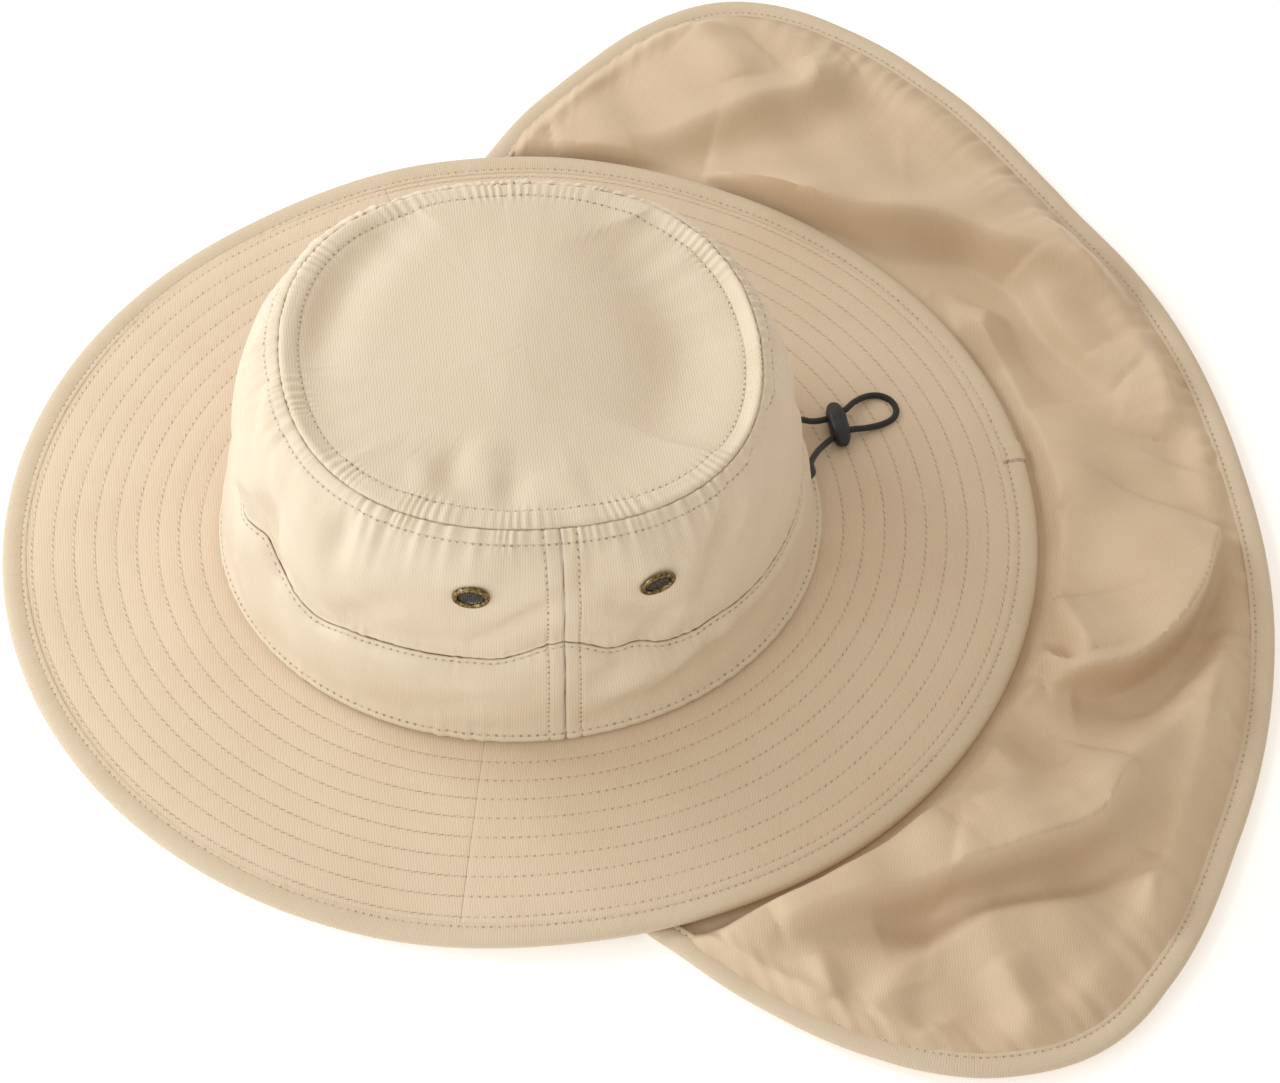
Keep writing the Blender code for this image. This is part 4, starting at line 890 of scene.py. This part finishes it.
def flap_height(turn, radius):
    """Height of the flap's underside above the floor, and its folds' lean in plan."""
    brim = brim_radius(turn)
    hem = hem_radius(turn)
    under = (radius - crown_radius(turn)) / (brim - crown_radius(turn))
    drop = np.interp(under, FLAP_DROP_REACH, FLAP_DROP_HEIGHT) * FLAP_TOP_HEIGHT
    side_turn = np.minimum(np.abs(turn - FLAP_START), np.abs(turn - FLAP_END))
    side = radius * np.sin(np.radians(np.minimum(90.0, side_turn)))
    tape_zone = TAPE_WIDTH + 2 * TAPE_STEP
    near_hem = 1 - ease((hem - radius - tape_zone) / (2 * TAPE_WIDTH))
    near_side = (1 - ease((side - tape_zone) / (2 * TAPE_WIDTH))) * ease((under - 0.25) / 0.2)
    lift = TAPE_STEP * np.maximum(near_hem, near_side)
    clear_of_brim = ease((radius - brim - TAPE_STEP - 0.6 * MM) / (0.8 * TAPE_WIDTH))
    clear_of_hem = ease((hem - radius - 0.6 * TAPE_WIDTH) / (1.8 * TAPE_WIDTH))
    free = clear_of_brim * clear_of_hem * ease((side - TAPE_WIDTH) / (2.0 * TAPE_WIDTH))
    places = in_plan(radius, turn)
    folds, lean = fold_shape(FOLDS, places, FOLD_LEAN)
    soft = folds + flap_waves(places)
    soft = 0.5 * (soft + np.sqrt(soft ** 2 + (1.2 * MM) ** 2))
    from_hem = np.maximum(0.0, hem - radius - 0.8 * TAPE_WIDTH)
    puckers = 1.0 * MM * ripple(np.radians(turn) * hem, 10 * MM, 2) * np.exp(-from_hem / (9 * MM))
    edge = (hem_wave(turn) + 0.5 * MM) * near_hem + puckers * ease(from_hem / (3 * MM))
    return np.maximum(drop, lift) + soft * free + edge * clear_of_brim, lean * free


def sheet_area(points):
    """Area of a grid of points."""
    across = np.diff(points, axis=0)[:, :-1]
    along = np.diff(points, axis=1)[:-1]
    return float(np.linalg.norm(np.cross(across, along), axis=-1).sum())


def make_flap():
    """Neck flap, sewn under the brim and spread on the floor, and the area of its cloth."""
    turns = np.linspace(FLAP_START, FLAP_END, FLAP_COLUMNS)
    inner = crown_radius(turns) - CROWN_WALL
    hem = hem_radius(turns)
    share = np.linspace(0.0, 1.0, FLAP_ROWS)[:, None]
    edge = np.minimum(brim_radius(turns) - 2 * MM, inner + 0.6 * (hem - inner))
    radius = np.where(share < FLAP_KNEE, inner + (edge - inner) * share / FLAP_KNEE,
                      edge + (hem - edge) * (share - FLAP_KNEE) / (1 - FLAP_KNEE))
    turn_grid = np.broadcast_to(turns, radius.shape)
    bottom, lean = flap_height(turn_grid, radius)
    lower = lifted(in_plan(radius, turn_grid) + lean, bottom)
    upper = lower + np.array([0.0, 0.0, 0.8 * FLAP_THICKNESS])
    return wall_object("neck_flap_cloth", upper[::-1], lower[::-1]), sheet_area(lower)


def make_flap_tape():
    """Binding along the flap's free edge."""
    turns = np.linspace(FLAP_START, FLAP_END, HEM_TAPE_STATIONS)
    hem = hem_radius(turns)
    start, end = (crown_radius(turn) + 0.5 * BRIM_WIDTH for turn in (FLAP_START, FLAP_END))
    first = np.linspace(start, hem[0], SIDE_TAPE_STATIONS)[:-1]
    last = np.linspace(hem[-1], end, SIDE_TAPE_STATIONS)[1:]
    turns = np.concatenate([np.full(len(first), FLAP_START), turns, np.full(len(last), FLAP_END)])
    radius = np.concatenate([first, hem, last])
    plan = in_plan(radius, turns)
    for _ in range(3):
        plan[1:-1] = (plan[:-2] + 2 * plan[1:-1] + plan[2:]) / 4
    ahead = np.gradient(plan)
    outside = ease((radius - brim_radius(turns) - TAPE_STEP) / (1.1 * TAPE_WIDTH))
    middle = TAPE_STEP + FLAP_THICKNESS / 2 + (hem_wave(turns) + 0.5 * MM) * outside
    run = lengths_along(lifted(plan, 0.0), 0)
    rings, values = tape_rings(plan, 1j * ahead / np.abs(ahead), middle, -0.15 * MM, run)
    return tube_object("flap_edge_tape_cloth", rings, values)


# Eyelets

def eyelet_frame(eyelet):
    """Place and direction of an eyelet: Z out of the crown, Y up along it."""
    point, normal = crown_spot(eyelet.turn, eyelet.row, 1.2, 0.12)
    side = Vector((0.0, 0.0, 1.0)).cross(normal).normalized()
    turned = Matrix((side, normal.cross(side), normal)).transposed().to_4x4()
    turned.translation = point + HAT_CENTRE
    return turned


def make_eyelet(eyelet):
    """Turned brass rim."""
    circle = in_plan(1.0, np.linspace(0.0, 360.0, RIM_SIDES, endpoint=False))
    rings = lifted(circle[:, None] * column(RIM_OUTLINE, "radius") * MM, column(RIM_OUTLINE, "height") * MM)
    name = "eyelet_rim_" + eyelet.name + "_brass"
    return tube_object(name, rings, loop=True, smooth_angle=50.0, placed=eyelet_frame(eyelet))


def make_wire_disc(eyelet):
    """Woven wires that fill the eyelet, over a thin dark disc of painted shade."""
    circle = in_plan(MESH_RADIUS, np.linspace(0.0, 360.0, DISC_SIDES, endpoint=False))
    # Thin dark disc under the wires: painted shade that stands for the dark hole behind them.
    tubes = [lifted(circle, np.array([[-0.35], [-0.05]]) * MM)]
    corner = in_plan(WIRE_RADIUS, np.arange(0, 360, 60))
    for direction in (0, 1):
        for index in range(-WIRES_EACH_SIDE, WIRES_EACH_SIDE + 1):
            offset = index * WIRE_PITCH
            half = math.sqrt(MESH_RADIUS ** 2 - offset ** 2)
            along = np.linspace(-half, half, WIRE_STATIONS)[:, None]
            weave = 0.17 * MM * np.cos(np.pi * (along / WIRE_PITCH + index + direction)) + 0.18 * MM
            plan = (along + 1j * (offset + corner.real)) * 1j ** direction
            tubes.append(lifted(plan, weave + corner.imag))
    faces = []
    start = 0
    for rings in tubes:
        faces += tube_faces(*rings.shape[:2], ends=start == 0, start=start)
        start += rings.shape[0] * rings.shape[1]
    vertices = np.concatenate([rings.reshape(-1, 3) for rings in tubes])
    return mesh_object("eyelet_mesh_" + eyelet.name + "_wires", vertices, faces, placed=eyelet_frame(eyelet))


# Cord and lock

def lock_frame():
    """Place of the cord lock in the hat's own frame: X along the bores, Y along the lock."""
    turn = math.degrees(math.atan2(LOCK_Y / HALF_LENGTH, LOCK_X / HALF_WIDTH))
    reach = (LOCK_Y / math.sin(math.radians(turn)) - HALF_LENGTH) / BRIM_WIDTH
    height = float(brim_top(turn, reach)) + CLEARANCE + LOCK_HEIGHT / 2
    turned = Matrix.Rotation(math.radians(90 + LOCK_TURN), 4, "Z")
    return Matrix.Translation((LOCK_X, LOCK_Y, height)) @ turned


def bore_shift(side):
    """Place of one of the lock's bores in the lock's frame, with X along the bore."""
    shift = Matrix.Translation((0.0, side * LOCK_BORE_SPREAD / 2, 0.0))
    return shift @ Matrix.Rotation(math.radians(BORE_SLANT), 4, "Z")


def cord_exit(exit_place, follow):
    """Cord's first two places: inside the crown's wall, and just outside it."""
    point, normal = crown_spot(exit_place.turn, exit_place.row, 0.2, 0.01, creased=False)
    outside = point + normal * CORD_EXIT_GAP
    step_back = (outside - follow) * 0.45
    inward = CORD_EXIT_GAP + 0.6 * MM + step_back.dot(normal)
    return [outside + step_back - normal * inward, outside]


def cord_route():
    """Chosen points of the cord, from one exit round the loop to the other."""
    mouth = LOCK_WIDTH / 2 + CLEARANCE
    lock = lock_frame()
    bore_a, bore_b = ([lock @ bore_shift(side) @ Vector((along, 0.0, 0.0)) for along in (-mouth, 0.0, mouth)]
                      for side in (-1, 1))
    legs = (CORD_LEG_A, CORD_LOOP, CORD_LEG_B)
    leg_a, loop, leg_b = ([lock @ Vector(step) for step in leg] for leg in legs)
    way_out = cord_exit(CORD_EXITS[0], leg_a[0]) + leg_a + bore_a
    way_back = cord_exit(CORD_EXITS[1], leg_b[0]) + leg_b + bore_b
    return way_out + loop + way_back[::-1]


def evenly_along(points, spacing):
    """Evenly spaced points on a smooth curve through the chosen ones, and lengths along it."""
    chosen = np.array(points)
    position = np.linspace(0.0, len(chosen) - 1.0, 20 * len(chosen))
    dense = np.stack([smooth_through(values, position) for values in chosen.T], axis=-1)
    run = lengths_along(dense, 0)
    targets = np.linspace(0.0, run[-1], round(run[-1] / spacing) + 1)
    return np.stack([np.interp(targets, run, values) for values in dense.T], axis=-1), targets


def make_cord():
    """Round braided elastic cord, its points and its length."""
    points, run = evenly_along(cord_route(), 0.45 * MM)
    tangent = np.gradient(points, axis=0)
    tangent /= np.linalg.norm(tangent, axis=1, keepdims=True)
    level = np.cross(tangent, [0.0, 0.0, 1.0])
    level /= np.linalg.norm(level, axis=1, keepdims=True)
    rise = np.cross(level, tangent)
    angle = np.linspace(0.0, 2 * np.pi, CORD_SIDES, endpoint=False)
    twist = run[:, None] * 2 * np.pi / CORD_BRAID_PITCH
    braid = np.maximum(np.sin(5 * angle + twist), np.sin(5 * angle - twist))
    radius = CORD_DIAMETER / 2 * (0.955 + 0.045 * braid)
    around = np.cos(angle)[:, None] * level[:, None, :] + np.sin(angle)[:, None] * rise[:, None, :]
    values = {"around": np.tile(np.degrees(angle), len(points)), "along": np.repeat(run / MM, CORD_SIDES)}
    cord = tube_object("cord_elastic", points[:, None, :] + radius[..., None] * around, values)
    return cord, points + np.array(HAT_CENTRE), float(run[-1])


def signed_power(value, power):
    """Power of a value that keeps its sign."""
    return math.copysign(abs(value) ** power, value)


def make_lock():
    """Bean-shaped cord lock with two bores and a parting line."""
    data = bmesh.new()
    bmesh.ops.create_uvsphere(data, u_segments=64, v_segments=40, radius=1.0)
    for vert in data.verts:
        across, rise = (signed_power(value, 0.80) / 2 for value in vert.co[:2])
        lengthwise = signed_power(vert.co.z, 0.92) / 2
        waist = 1 - 0.05 * bell(lengthwise, 0.10)
        groove = 1 - 0.020 * bell(rise, 0.018)
        vert.co = (across * LOCK_WIDTH * waist * groove, lengthwise * LOCK_LENGTH, rise * LOCK_HEIGHT * waist)
    bmesh.ops.recalc_face_normals(data, faces=data.faces)
    mesh = bpy.data.meshes.new("cord_lock_body")
    data.to_mesh(mesh)
    data.free()
    lock = link_object("cord_lock_body", mesh)
    circle = in_plan(1.0, np.linspace(0.0, 360.0, BORE_SIDES, endpoint=False))
    along, radius = (column(BORE_OUTLINE, name)[:, None] * MM for name in ("height", "radius"))
    rings = lifted(circle * radius, along)[..., [2, 0, 1]]
    for side in (-1, 1):
        cutter = tube_object("bore", rings, placed=bore_shift(side))
        modifier = lock.modifiers.new("bore", "BOOLEAN")
        modifier.object = cutter
        bpy.context.view_layer.update()
        evaluated = lock.evaluated_get(bpy.context.evaluated_depsgraph_get())
        mesh = bpy.data.meshes.new_from_object(evaluated)
        lock.modifiers.clear()
        lock.data = mesh
        bpy.data.objects.remove(cutter)
    lock.data.transform(HAT_FRAME @ lock_frame())
    lock.data.shade_smooth()
    lock.data.set_sharp_from_angle(angle=math.radians(40))
    return lock


# Materials

class Shader:
    """Small helper that builds a material's nodes."""

    def __init__(self, name, roughness, metallic=0.0):
        self.material = bpy.data.materials.new(name)
        self.material.use_nodes = True
        self.tree = self.material.node_tree
        self.surface = self.tree.nodes["Principled BSDF"]
        self.set(Roughness=roughness, Metallic=metallic)

    def set(self, **sockets):
        """Set or link the shader's own sockets; underscores stand for spaces."""
        for key, value in sockets.items():
            self.feed(self.surface.inputs[key.replace("_", " ")], value)

    def node(self, kind, **settings):
        """New node with its settings."""
        node = self.tree.nodes.new(kind)
        for key, value in settings.items():
            setattr(node, key, value)
        return node

    def feed(self, socket, value):
        """Link an output, or set a number or a colour, on an input."""
        if isinstance(value, bpy.types.NodeSocket):
            self.tree.links.new(value, socket)
        elif isinstance(value, tuple) and len(value) == 3:
            socket.default_value = (*value, 1.0)
        else:
            socket.default_value = value

    def math(self, operation, first, second=0.0):
        """Math node."""
        node = self.node("ShaderNodeMath", operation=operation)
        self.feed(node.inputs[0], first)
        self.feed(node.inputs[1], second)
        return node.outputs[0]

    def times(self, first, second):
        """Product of two values."""
        return self.math("MULTIPLY", first, second)

    def plus(self, first, second):
        """Sum of two values."""
        return self.math("ADD", first, second)

    def ramp(self, value, low, high, to_low=0.0, to_high=1.0):
        """Smooth step of a value between two limits."""
        node = self.node("ShaderNodeMapRange", interpolation_type="SMOOTHSTEP")
        for key, given in zip(("Value", "From Min", "From Max", "To Min", "To Max"),
                              (value, low, high, to_low, to_high)):
            self.feed(node.inputs[key], given)
        return node.outputs["Result"]

    def attribute(self, name):
        """Value stored in the mesh."""
        return self.node("ShaderNodeAttribute", attribute_name=name).outputs["Fac"]

    def coordinates(self):
        """Object coordinates."""
        return self.node("ShaderNodeTexCoord").outputs["Object"]

    def noise(self, scale, detail=3.0, roughness=0.5):
        """Noise texture in object coordinates."""
        node = self.node("ShaderNodeTexNoise")
        for key, value in (("Scale", scale), ("Detail", detail), ("Roughness", roughness),
                           ("Vector", self.coordinates())):
            self.feed(node.inputs[key], value)
        return node.outputs["Fac"]

    def mix(self, share, first, second, blend="MIX"):
        """Mix of two colours."""
        node = self.node("ShaderNodeMix", data_type="RGBA", blend_type=blend)
        for key, value in (("Factor", share), (6, first), (7, second)):
            self.feed(node.inputs[key], value)
        return node.outputs[2]

    def bump(self, height, distance, below=None):
        """Bump on the shader's normal, stacked on one below it."""
        node = self.node("ShaderNodeBump")
        self.feed(node.inputs["Distance"], distance)
        self.feed(node.inputs["Height"], height)
        if below is not None:
            self.feed(node.inputs["Normal"], below)
        self.set(Normal=node.outputs[0])
        return node.outputs[0]


def stitch_rows(shader, rows):
    """Needle holes and thread of stitch rows.

    A row names the value along it, the value across it, and its place in that one.
    """
    holes, threads = 0.0, 0.0
    for along, across, row_at in rows:
        half = shader.math("PINGPONG", shader.math("DIVIDE", shader.attribute(along), STITCH_PITCH / MM), 0.5)
        phase = shader.times(half, 2.0)
        off = shader.math("ABSOLUTE", shader.math("SUBTRACT", shader.attribute(across), row_at / MM))
        hole = shader.times(shader.ramp(phase, 0.46, 0.16), shader.ramp(off, 0.52, 0.20))
        thread = shader.times(shader.ramp(phase, 0.24, 0.60), shader.ramp(off, 0.36, 0.10))
        holes = shader.math("MAXIMUM", holes, hole)
        threads = shader.math("MAXIMUM", threads, thread)
    return holes, threads


def cloth_material(name, cloth, rows=(), seams=(), ribs=None, sheen=0.25, roughness=0.62, rib_size=0.045,
                   stitch=1.0):
    """Woven cloth: ribs, thread grain, stitch rows, seams and uneven colour, with painted shade in
    the needle holes and along the seams, and a painted highlight on the thread.

    ribs names the value that the ribs cross, in millimetres; without it they run from side
    to side over the whole hat. seams are names of distances to seams, and the strength of the
    painted shade along each of them.
    """
    colour, shade = CLOTHS[cloth]
    shader = Shader(name, roughness)
    shader.set(Sheen_Weight=sheen, Sheen_Roughness=0.45, Specular_IOR_Level=0.32)
    if ribs is None:
        parts = shader.node("ShaderNodeSeparateXYZ")
        shader.feed(parts.inputs[0], shader.coordinates())
        crossing = shader.times(parts.outputs[1], 1 / MM)
    else:
        crossing = shader.attribute(ribs)
    wave = shader.math("SINE", shader.times(crossing, 2 * math.pi / RIB_PITCH))
    fine = shader.math("SINE", shader.times(crossing, 2 * math.pi / FINE_RIB_PITCH))
    grain = shader.noise(2600.0, 2.0, 0.6)
    uneven = shader.ramp(shader.noise(38.0, 3.0, 0.55), 0.30, 0.72)
    base = shader.mix(shader.times(uneven, 0.35), colour, shade)
    tint = shader.ramp(shader.plus(wave, shader.times(grain, 2.0)), -0.6, 2.4, 0.955, 1.02)
    base = shader.mix(1.0, base, tint, "MULTIPLY")
    holes, thread = stitch_rows(shader, rows)
    patchy = shader.ramp(shader.noise(210.0, 1.0), 0.36, 0.62, 0.48, 0.88)
    hole = shader.times(shader.times(holes, patchy), stitch)
    # Painted shade: a dark colour mixed into the needle holes here and along the seams below, patchy from
    # place to place.
    dark = (shade[0] * 0.28, shade[1] * 0.19, shade[2] * 0.10)
    base = shader.mix(hole, base, dark)
    # The thread is painted a little lighter than the cloth: a painted highlight on the raised stitches.
    base = shader.mix(shader.times(thread, 0.30), base, tuple(min(1.0, part * 1.06) for part in colour))
    # Painted shade along each seam's groove.
    for line, weight in seams:
        groove = shader.ramp(shader.attribute(line), 0.40, 0.08, 0.0, weight)
        base = shader.mix(shader.times(groove, patchy), base, dark)
    shader.set(Base_Color=base)
    relief = shader.plus(shader.times(wave, 0.5), shader.times(fine, 0.4))
    relief = shader.plus(relief, shader.times(grain, 1.2))
    woven = shader.bump(relief, rib_size * MM)
    sewn = shader.math("SUBTRACT", thread, shader.times(hole, 1.4))
    shader.bump(shader.times(sewn, stitch), 0.22 * MM, woven)
    return shader.material


def brass_material():
    """Antiqued brass: bright worn patches among dark ones, spread at random."""
    shader = Shader("antique_brass_worn", 0.34, 1.0)
    patch = shader.ramp(shader.noise(900.0, 5.0, 0.65), 0.38, 0.66)
    shader.set(Base_Color=shader.mix(patch, (0.10, 0.070, 0.030), (0.40, 0.30, 0.14)),
               Roughness=shader.ramp(patch, 0.0, 1.0, 0.46, 0.26))
    shader.bump(shader.noise(2400.0), 0.03 * MM)
    return shader.material


def wire_material():
    """Dark oxidised wire with brighter patches at random."""
    shader = Shader("dark_mesh_wire", 0.48, 0.35)
    patch = shader.ramp(shader.noise(1500.0, 4.0, 0.6), 0.35, 0.7)
    # These dark colours also paint the disc of painted shade behind the wires.
    shader.set(Base_Color=shader.mix(patch, (0.040, 0.036, 0.034), (0.160, 0.145, 0.135)))
    shader.bump(shader.noise(3000.0, 2.0), 0.02 * MM)
    return shader.material


def elastic_material():
    """Braided black elastic."""
    shader = Shader("black_elastic_braid", 0.58)
    along = shader.times(shader.attribute("along"), 2 * math.pi / 1.1)
    around = shader.times(shader.attribute("around"), math.radians(5))
    one, two = (shader.math("SINE", shader.math(way, along, around)) for way in ("ADD", "SUBTRACT"))
    braid = shader.math("MAXIMUM", one, two)
    colour = shader.mix(shader.ramp(braid, -0.4, 1.0), (0.006, 0.006, 0.007), (0.022, 0.022, 0.025))
    shader.set(Base_Color=colour, Sheen_Weight=0.15, Specular_IOR_Level=0.40)
    shader.bump(braid, 0.06 * MM)
    return shader.material


def plastic_material():
    """Satin moulded black plastic."""
    shader = Shader("black_plastic_satin", 0.36)
    patch = shader.noise(700.0)
    shader.set(Base_Color=shader.mix(patch, (0.012, 0.013, 0.018), (0.020, 0.021, 0.028)),
               Roughness=shader.ramp(patch, 0.3, 0.7, 0.30, 0.42), Specular_IOR_Level=0.5)
    shader.bump(shader.noise(5200.0, 2.0), 0.02 * MM)
    return shader.material


# Studio

def make_floor():
    """Plain pale floor."""
    corners = np.array([(-1, -1, 0), (1, -1, 0), (1, 1, 0), (-1, 1, 0)]) * FLOOR_HALF
    floor = mesh_object("studio_floor", corners, [[0, 1, 2, 3]], placed=Matrix())
    shader = Shader("studio_floor_white", 0.9)
    shader.set(Base_Color=(0.92, 0.92, 0.92), Specular_IOR_Level=0.0)
    shader.set(Emission_Color=(1.0, 1.0, 1.0), Emission_Strength=FLOOR_GLOW)
    floor.data.materials.append(shader.material)


def make_light():
    """Two soft keys from the front, a weak warm fill and a pale world."""
    for row in LAMPS:
        lamp = bpy.data.lights.new(row.name, "AREA")
        lamp.size = row.size
        lamp.energy = row.power
        lamp.color = row.colour
        thing = link_object(row.name, lamp)
        aim = Vector(row.direction).normalized()
        thing.location = HAT_CENTRE + aim * row.distance
        thing.rotation_euler = aim.to_track_quat("Z", "Y").to_euler()
    world = bpy.data.worlds.new("studio_world")
    bpy.context.scene.world = world
    world.use_nodes = True
    background = world.node_tree.nodes["Background"]
    background.inputs["Color"].default_value = WORLD_COLOUR
    background.inputs["Strength"].default_value = WORLD_STRENGTH
    bpy.context.scene.view_settings.view_transform = "Standard"


def make_camera():
    """Camera at the photograph's angle, lens and framing."""
    azimuth = math.radians(CAMERA_AZIMUTH)
    elevation = math.radians(CAMERA_ELEVATION)
    level = math.cos(elevation)
    back = Vector((math.sin(azimuth) * level, -math.cos(azimuth) * level, math.sin(elevation)))
    right = Vector((0.0, 0.0, 1.0)).cross(back).normalized()
    turned = Matrix((right, back.cross(right), back)).transposed().to_4x4()
    turned = turned @ Matrix.Rotation(math.radians(CAMERA_ROLL), 4, "Z")
    turned.translation = HAT_CENTRE + CAMERA_AIM + back * CAMERA_DISTANCE
    lens = bpy.data.cameras.new("camera")
    lens.lens = CAMERA_LENS
    lens.sensor_width = 36.0
    lens.sensor_fit = "HORIZONTAL"
    lens.shift_x = CAMERA_SHIFT_X
    lens.shift_y = CAMERA_SHIFT_Y
    lens.clip_start = 0.05
    camera = link_object("camera", lens)
    camera.matrix_world = turned
    bpy.context.scene.camera = camera


# Pieces over their solids

def dress(piece, node, material):
    """Paint a piece and put it in the place of its solid."""
    piece.data.materials.clear()
    piece.data.materials.append(material)
    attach(piece, "root")
    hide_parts(node)


def dress_cord():
    """Elastic cord with its lock."""
    cord, path, length = make_cord()
    lock = make_lock()
    dress(cord, "cord", elastic_material())
    dress(lock, "cord_lock", plastic_material())


def dress_crown():
    """Crown cloth."""
    side_row = ("up", "side", SIDE_ROW)
    upper = cloth_material("crown_upper_twill", "crown", (("around", "down", TIP_ROW_BELOW), side_row),
                           (("up", 1.0), ("side", 0.45), ("down", 0.6)), "around", stitch=0.75)
    lower_rows = (("around", "up", BASE_ROW), ("around", "down", WAIST_ROW_BELOW), side_row)
    lower = cloth_material("crown_lower_twill", "crown", lower_rows,
                           (("down", 1.0), ("side", 0.8), ("up", 1.0)), "around", stitch=0.75)
    tip = cloth_material("crown_tip_twill", "crown", (("around", "up", TIP_ROW_INSIDE),), (("up", 0.5),),
                         stitch=0.75)
    for node, piece in make_crown().items():
        dress(piece, node, tip if node == "crown_tip" else upper if "upper" in node else lower)


def dress_brim(binding):
    """Stitched brim cloth and its binding."""
    cloth = cloth_material("brim_twill", "brim", (("around", "off_row", 0.0),), stitch=0.55)
    panels = {"brim_front": (-180 - BRIM_SEAM, BRIM_SEAM), "brim_back": (BRIM_SEAM, 180 - BRIM_SEAM)}
    for node, (start, end) in panels.items():
        dress(make_brim_panel(node + "_cloth", start, end), node, cloth)
    dress(make_brim_tape(), "brim_edge_tape", binding)


def dress_flap(binding):
    """Flap cloth, spread on the floor, and its binding."""
    flap, area = make_flap()
    satin = cloth_material("flap_satin", "flap", sheen=0.15, roughness=0.46, rib_size=0.03)
    hem = make_flap_tape()
    dress(flap, "neck_flap", satin)
    dress(hem, "flap_edge_tape", binding)


def dress_eyelets():
    """Brass rims and woven wire."""
    brass = brass_material()
    wire = wire_material()
    for eyelet in EYELETS:
        dress(make_eyelet(eyelet), "eyelet_rim_" + eyelet.name, brass)
        dress(make_wire_disc(eyelet), "eyelet_mesh_" + eyelet.name, wire)


make_camera()
make_floor()
make_light()
dress_cord()
dress_crown()
tape_rows = (("around", "across", TAPE_ROW_ACROSS),)
twill_binding = cloth_material("binding_twill", "tape", tape_rows, ribs="around",
                               sheen=0.2, roughness=0.7, rib_size=0.06, stitch=0.6)
dress_brim(twill_binding)
dress_flap(twill_binding)
dress_eyelets()
